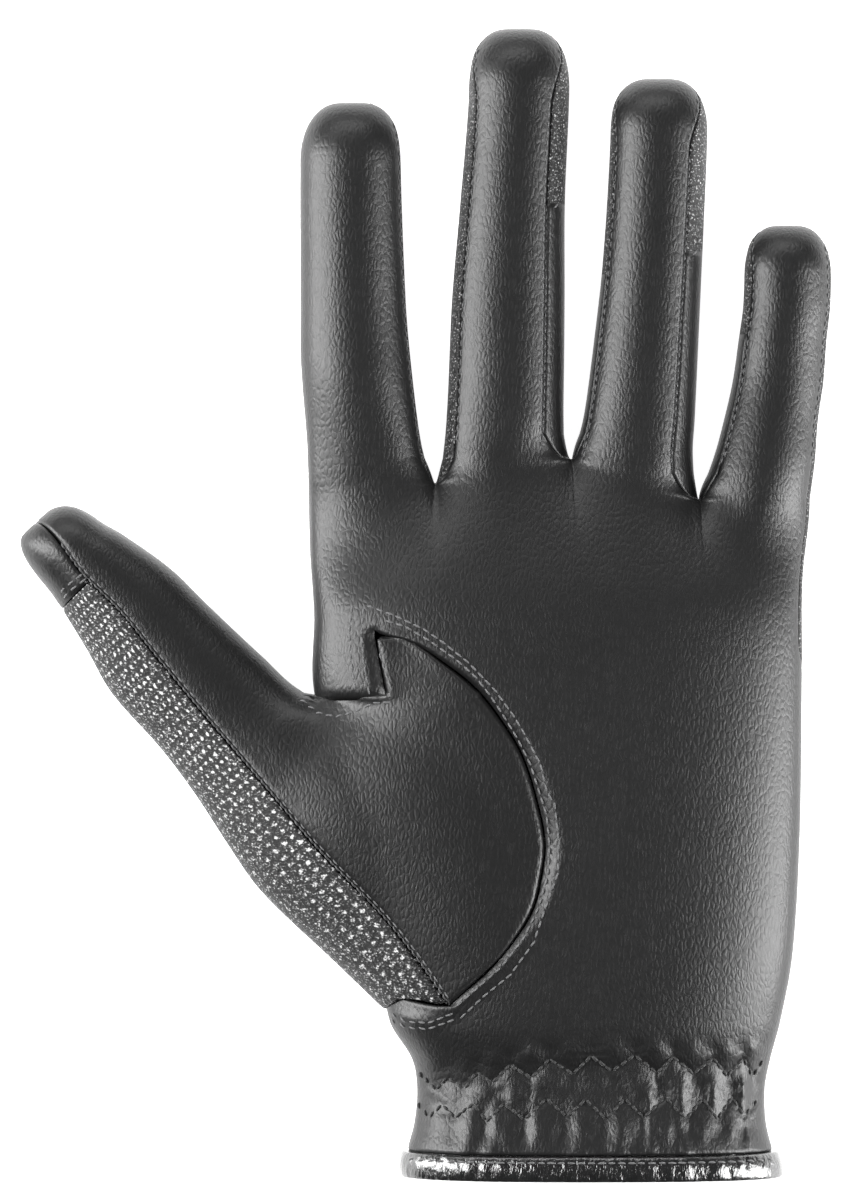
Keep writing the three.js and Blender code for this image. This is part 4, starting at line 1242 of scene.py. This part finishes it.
def add_stitch(made, shape, centre, along, up, length, thickness):
    """Adds a stitch whose Z runs along the seam and whose X points up from the surface."""
    turned = Matrix((up * thickness, along.cross(up) * thickness, along * length)).transposed()
    placed = shape.copy()
    placed.transform(Matrix.Translation(centre) @ turned.to_4x4())
    made.from_mesh(placed)
    bpy.data.meshes.remove(placed)


def surface_below():
    """The fronts of all finished pieces, for laying thread on them."""
    graph = bpy.context.evaluated_depsgraph_get()
    return [BVHTree.FromObject(bpy.data.objects[name], graph) for name in FRONT_PIECES]


def lay_thread(made, shape, trees, line, pitch, length, thickness):
    """Lays stitches along a line seen from above, on whatever surface is highest there."""
    for (x, y), (dx, dy) in along_line(line, pitch):
        hits = [tree.ray_cast(Vector((x, y, 100)) * MM, Vector((0, 0, -1))) for tree in trees]
        hits = [hit for hit in hits if hit[0]]
        if not hits:
            continue
        place, normal = max(hits, key=lambda hit: hit[0].z)[:2]
        if normal.z < 0:
            normal = -normal
        along = Vector((dx, dy, 0))
        along = (along - normal * along.dot(normal)).normalized()
        add_stitch(made, shape, place, along, normal, length * MM, thickness * MM)


LINE_POINTS = 30


def finger_seam(index, side, above_root, below_tip, inwards):
    """A line on the leather that follows a seam of a finger at a distance."""
    line = []
    for k in range(LINE_POINTS):
        y = mix(
            FINGERS[index]["root"] + above_root, FINGERS[index]["tip"] - below_tip,
            k / (LINE_POINTS - 1),
        )
        ring = finger_ring(index, y)
        left, right = front_angles(index, y)
        angle = right + inwards / ring.half if side > 0 else left - inwards / ring.half
        line.append((ring.point(angle)[0], y))
    return line


def thumb_line(low, high, inwards):
    rows = [mix(low, high, k / (LINE_POINTS - 1)) for k in range(LINE_POINTS)]
    return [thumb_place(s, thumb_ring(s).seam + inwards) for s in rows]


class GLOVE_OT_thread(bpy.types.Operator):
    """Adds the topstitching, the folded edges beside the seams and the zigzag rows; the light grey
    of the folded edges and of the topstitching is painted highlight
    """
    bl_idname = "glove.thread"
    bl_label = "Thread"

    def execute(self, context):
        sizes = context.scene.glove_sizes
        pitch, thick = sizes.stitch_pitch / MM, sizes.thread_thickness / MM
        trees = surface_below()
        shape = stitch_shape()
        rows, edges, zigzag = bmesh.new(), bmesh.new(), bmesh.new()
        # Rows of topstitching, whose lighter thread is painted highlight.
        for line in ROWS:
            lay_thread(rows, shape, trees, line, pitch, pitch * 0.86, thick)
        seams = [finger_seam(*seam, 8, 4, 0.9) for seam in FINGER_SEAMS]
        for line in (*seams, thumb_line(8, THUMB_LENGTH - 1, 0.9)):
            lay_thread(rows, shape, trees, line, 1.9, 1.5, thick * 0.85)
        # Thin ridges beside the seams, coloured light grey as painted highlight.
        folds = [finger_seam(*seam, 7, 3, 0.3) for seam in FOLDED_SEAMS]
        for line in (*folds, thumb_line(7, THUMB_LENGTH - 1, 0.35)):
            lay_thread(edges, shape, trees, line, 1.5, 1.9, FOLD_THICKNESS)
        for corners in ZIGZAGS:
            for line in zip(corners, corners[1:]):
                lay_thread(zigzag, shape, trees, line, 1.8, 1.7, thick * 1.6)
        finished("folded_edges", edges, material("folded_edge"))
        finished("topstitching", rows, material("topstitch"))
        finished("zigzag", zigzag, material("thread"))
        bpy.data.meshes.remove(shape)
        return {"FINISHED"}


CAMERA_LENS = 180
CAMERA_PLACE = (0.0001, -0.0002, 1.212)
LIT_PLACE = (0, 0, 0.01)
# Name, place in metres, width and height in metres, and power in watts.
SOFTBOXES = (
    ("left softbox", (-0.75, 0.12, 0.4), (0.3, 1.1), 20),
    ("right softbox", (0.75, -0.14, 0.26), (0.3, 1.0), 19),
    ("top softbox", (-0.1, 0.8, 0.5), (0.9, 0.3), 4),
)


class GLOVE_OT_stage(bpy.types.Operator):
    """Adds the pale floor, the camera above the palm and the soft lights of a studio"""
    bl_idname = "glove.stage"
    bl_label = "Stage"

    def execute(self, context):
        scene = context.scene
        self.floor()
        camera = placed("camera", bpy.data.cameras.new("camera"))
        camera.data.lens = CAMERA_LENS
        camera.data.sensor_width = 36
        camera.location = CAMERA_PLACE
        scene.camera = camera
        for softbox in SOFTBOXES:
            self.light(*softbox)
        world = bpy.data.worlds.new("studio")
        world.use_nodes = True
        background = world.node_tree.nodes["Background"]
        background.inputs["Color"].default_value = (1, 1, 1, 1)
        background.inputs["Strength"].default_value = 0.05
        scene.world = world
        scene.view_settings.view_transform = "Standard"
        return {"FINISHED"}

    def floor(self):
        made = bmesh.new()
        bmesh.ops.create_grid(made, x_segments=1, y_segments=1, size=1.6)
        n = Nodes("pale floor")
        n.shade(Base_Color=(0.95, 0.95, 0.95, 1), Roughness=0.9, Specular_IOR_Level=0.1)
        n.shade(Emission_Color=(1, 1, 1, 1), Emission_Strength=0.9)
        placed_mesh("floor", made, n.material)

    def light(self, name, place, size, power):
        data = bpy.data.lights.new(name, "AREA")
        data.shape = "RECTANGLE"
        data.size, data.size_y = size
        data.energy = power
        lamp = placed(name, data)
        lamp.location = place
        aim = Vector(LIT_PLACE) - Vector(place)
        lamp.rotation_euler = aim.to_track_quat("-Z", "Y").to_euler()


class GLOVE_PT_panel(bpy.types.Panel):
    bl_idname = "GLOVE_PT_panel"
    bl_label = "Riding Glove"
    bl_space_type = "VIEW_3D"
    bl_region_type = "UI"
    bl_category = "Riding Glove"

    def draw(self, context):
        for settings in (context.scene.glove_sizes, context.scene.glove_colours):
            for name in settings.__annotations__:
                self.layout.prop(settings, name)
        for operator in OPERATORS:
            self.layout.operator(operator.bl_idname)


OPERATORS = (
    GLOVE_OT_palm, GLOVE_OT_thumb, GLOVE_OT_thumb_knit, GLOVE_OT_back, GLOVE_OT_binding,
    GLOVE_OT_sides, GLOVE_OT_thread, GLOVE_OT_stage,
)
CLASSES = (GloveSizes, GloveColours, *OPERATORS, GLOVE_PT_panel)


def register():
    for cls in CLASSES:
        bpy.utils.register_class(cls)
    bpy.types.Scene.glove_sizes = bpy.props.PointerProperty(type=GloveSizes)
    bpy.types.Scene.glove_colours = bpy.props.PointerProperty(type=GloveColours)


def unregister():
    del bpy.types.Scene.glove_colours
    del bpy.types.Scene.glove_sizes
    for cls in reversed(CLASSES):
        bpy.utils.unregister_class(cls)


def main():
    register()
    bpy.ops.glove.palm()
    bpy.ops.glove.thumb()
    bpy.ops.glove.thumb_knit()
    bpy.ops.glove.back()
    bpy.ops.glove.binding()
    bpy.ops.glove.sides()
    bpy.ops.glove.thread()
    bpy.ops.glove.stage()


if __name__ == "__main__":
    main()
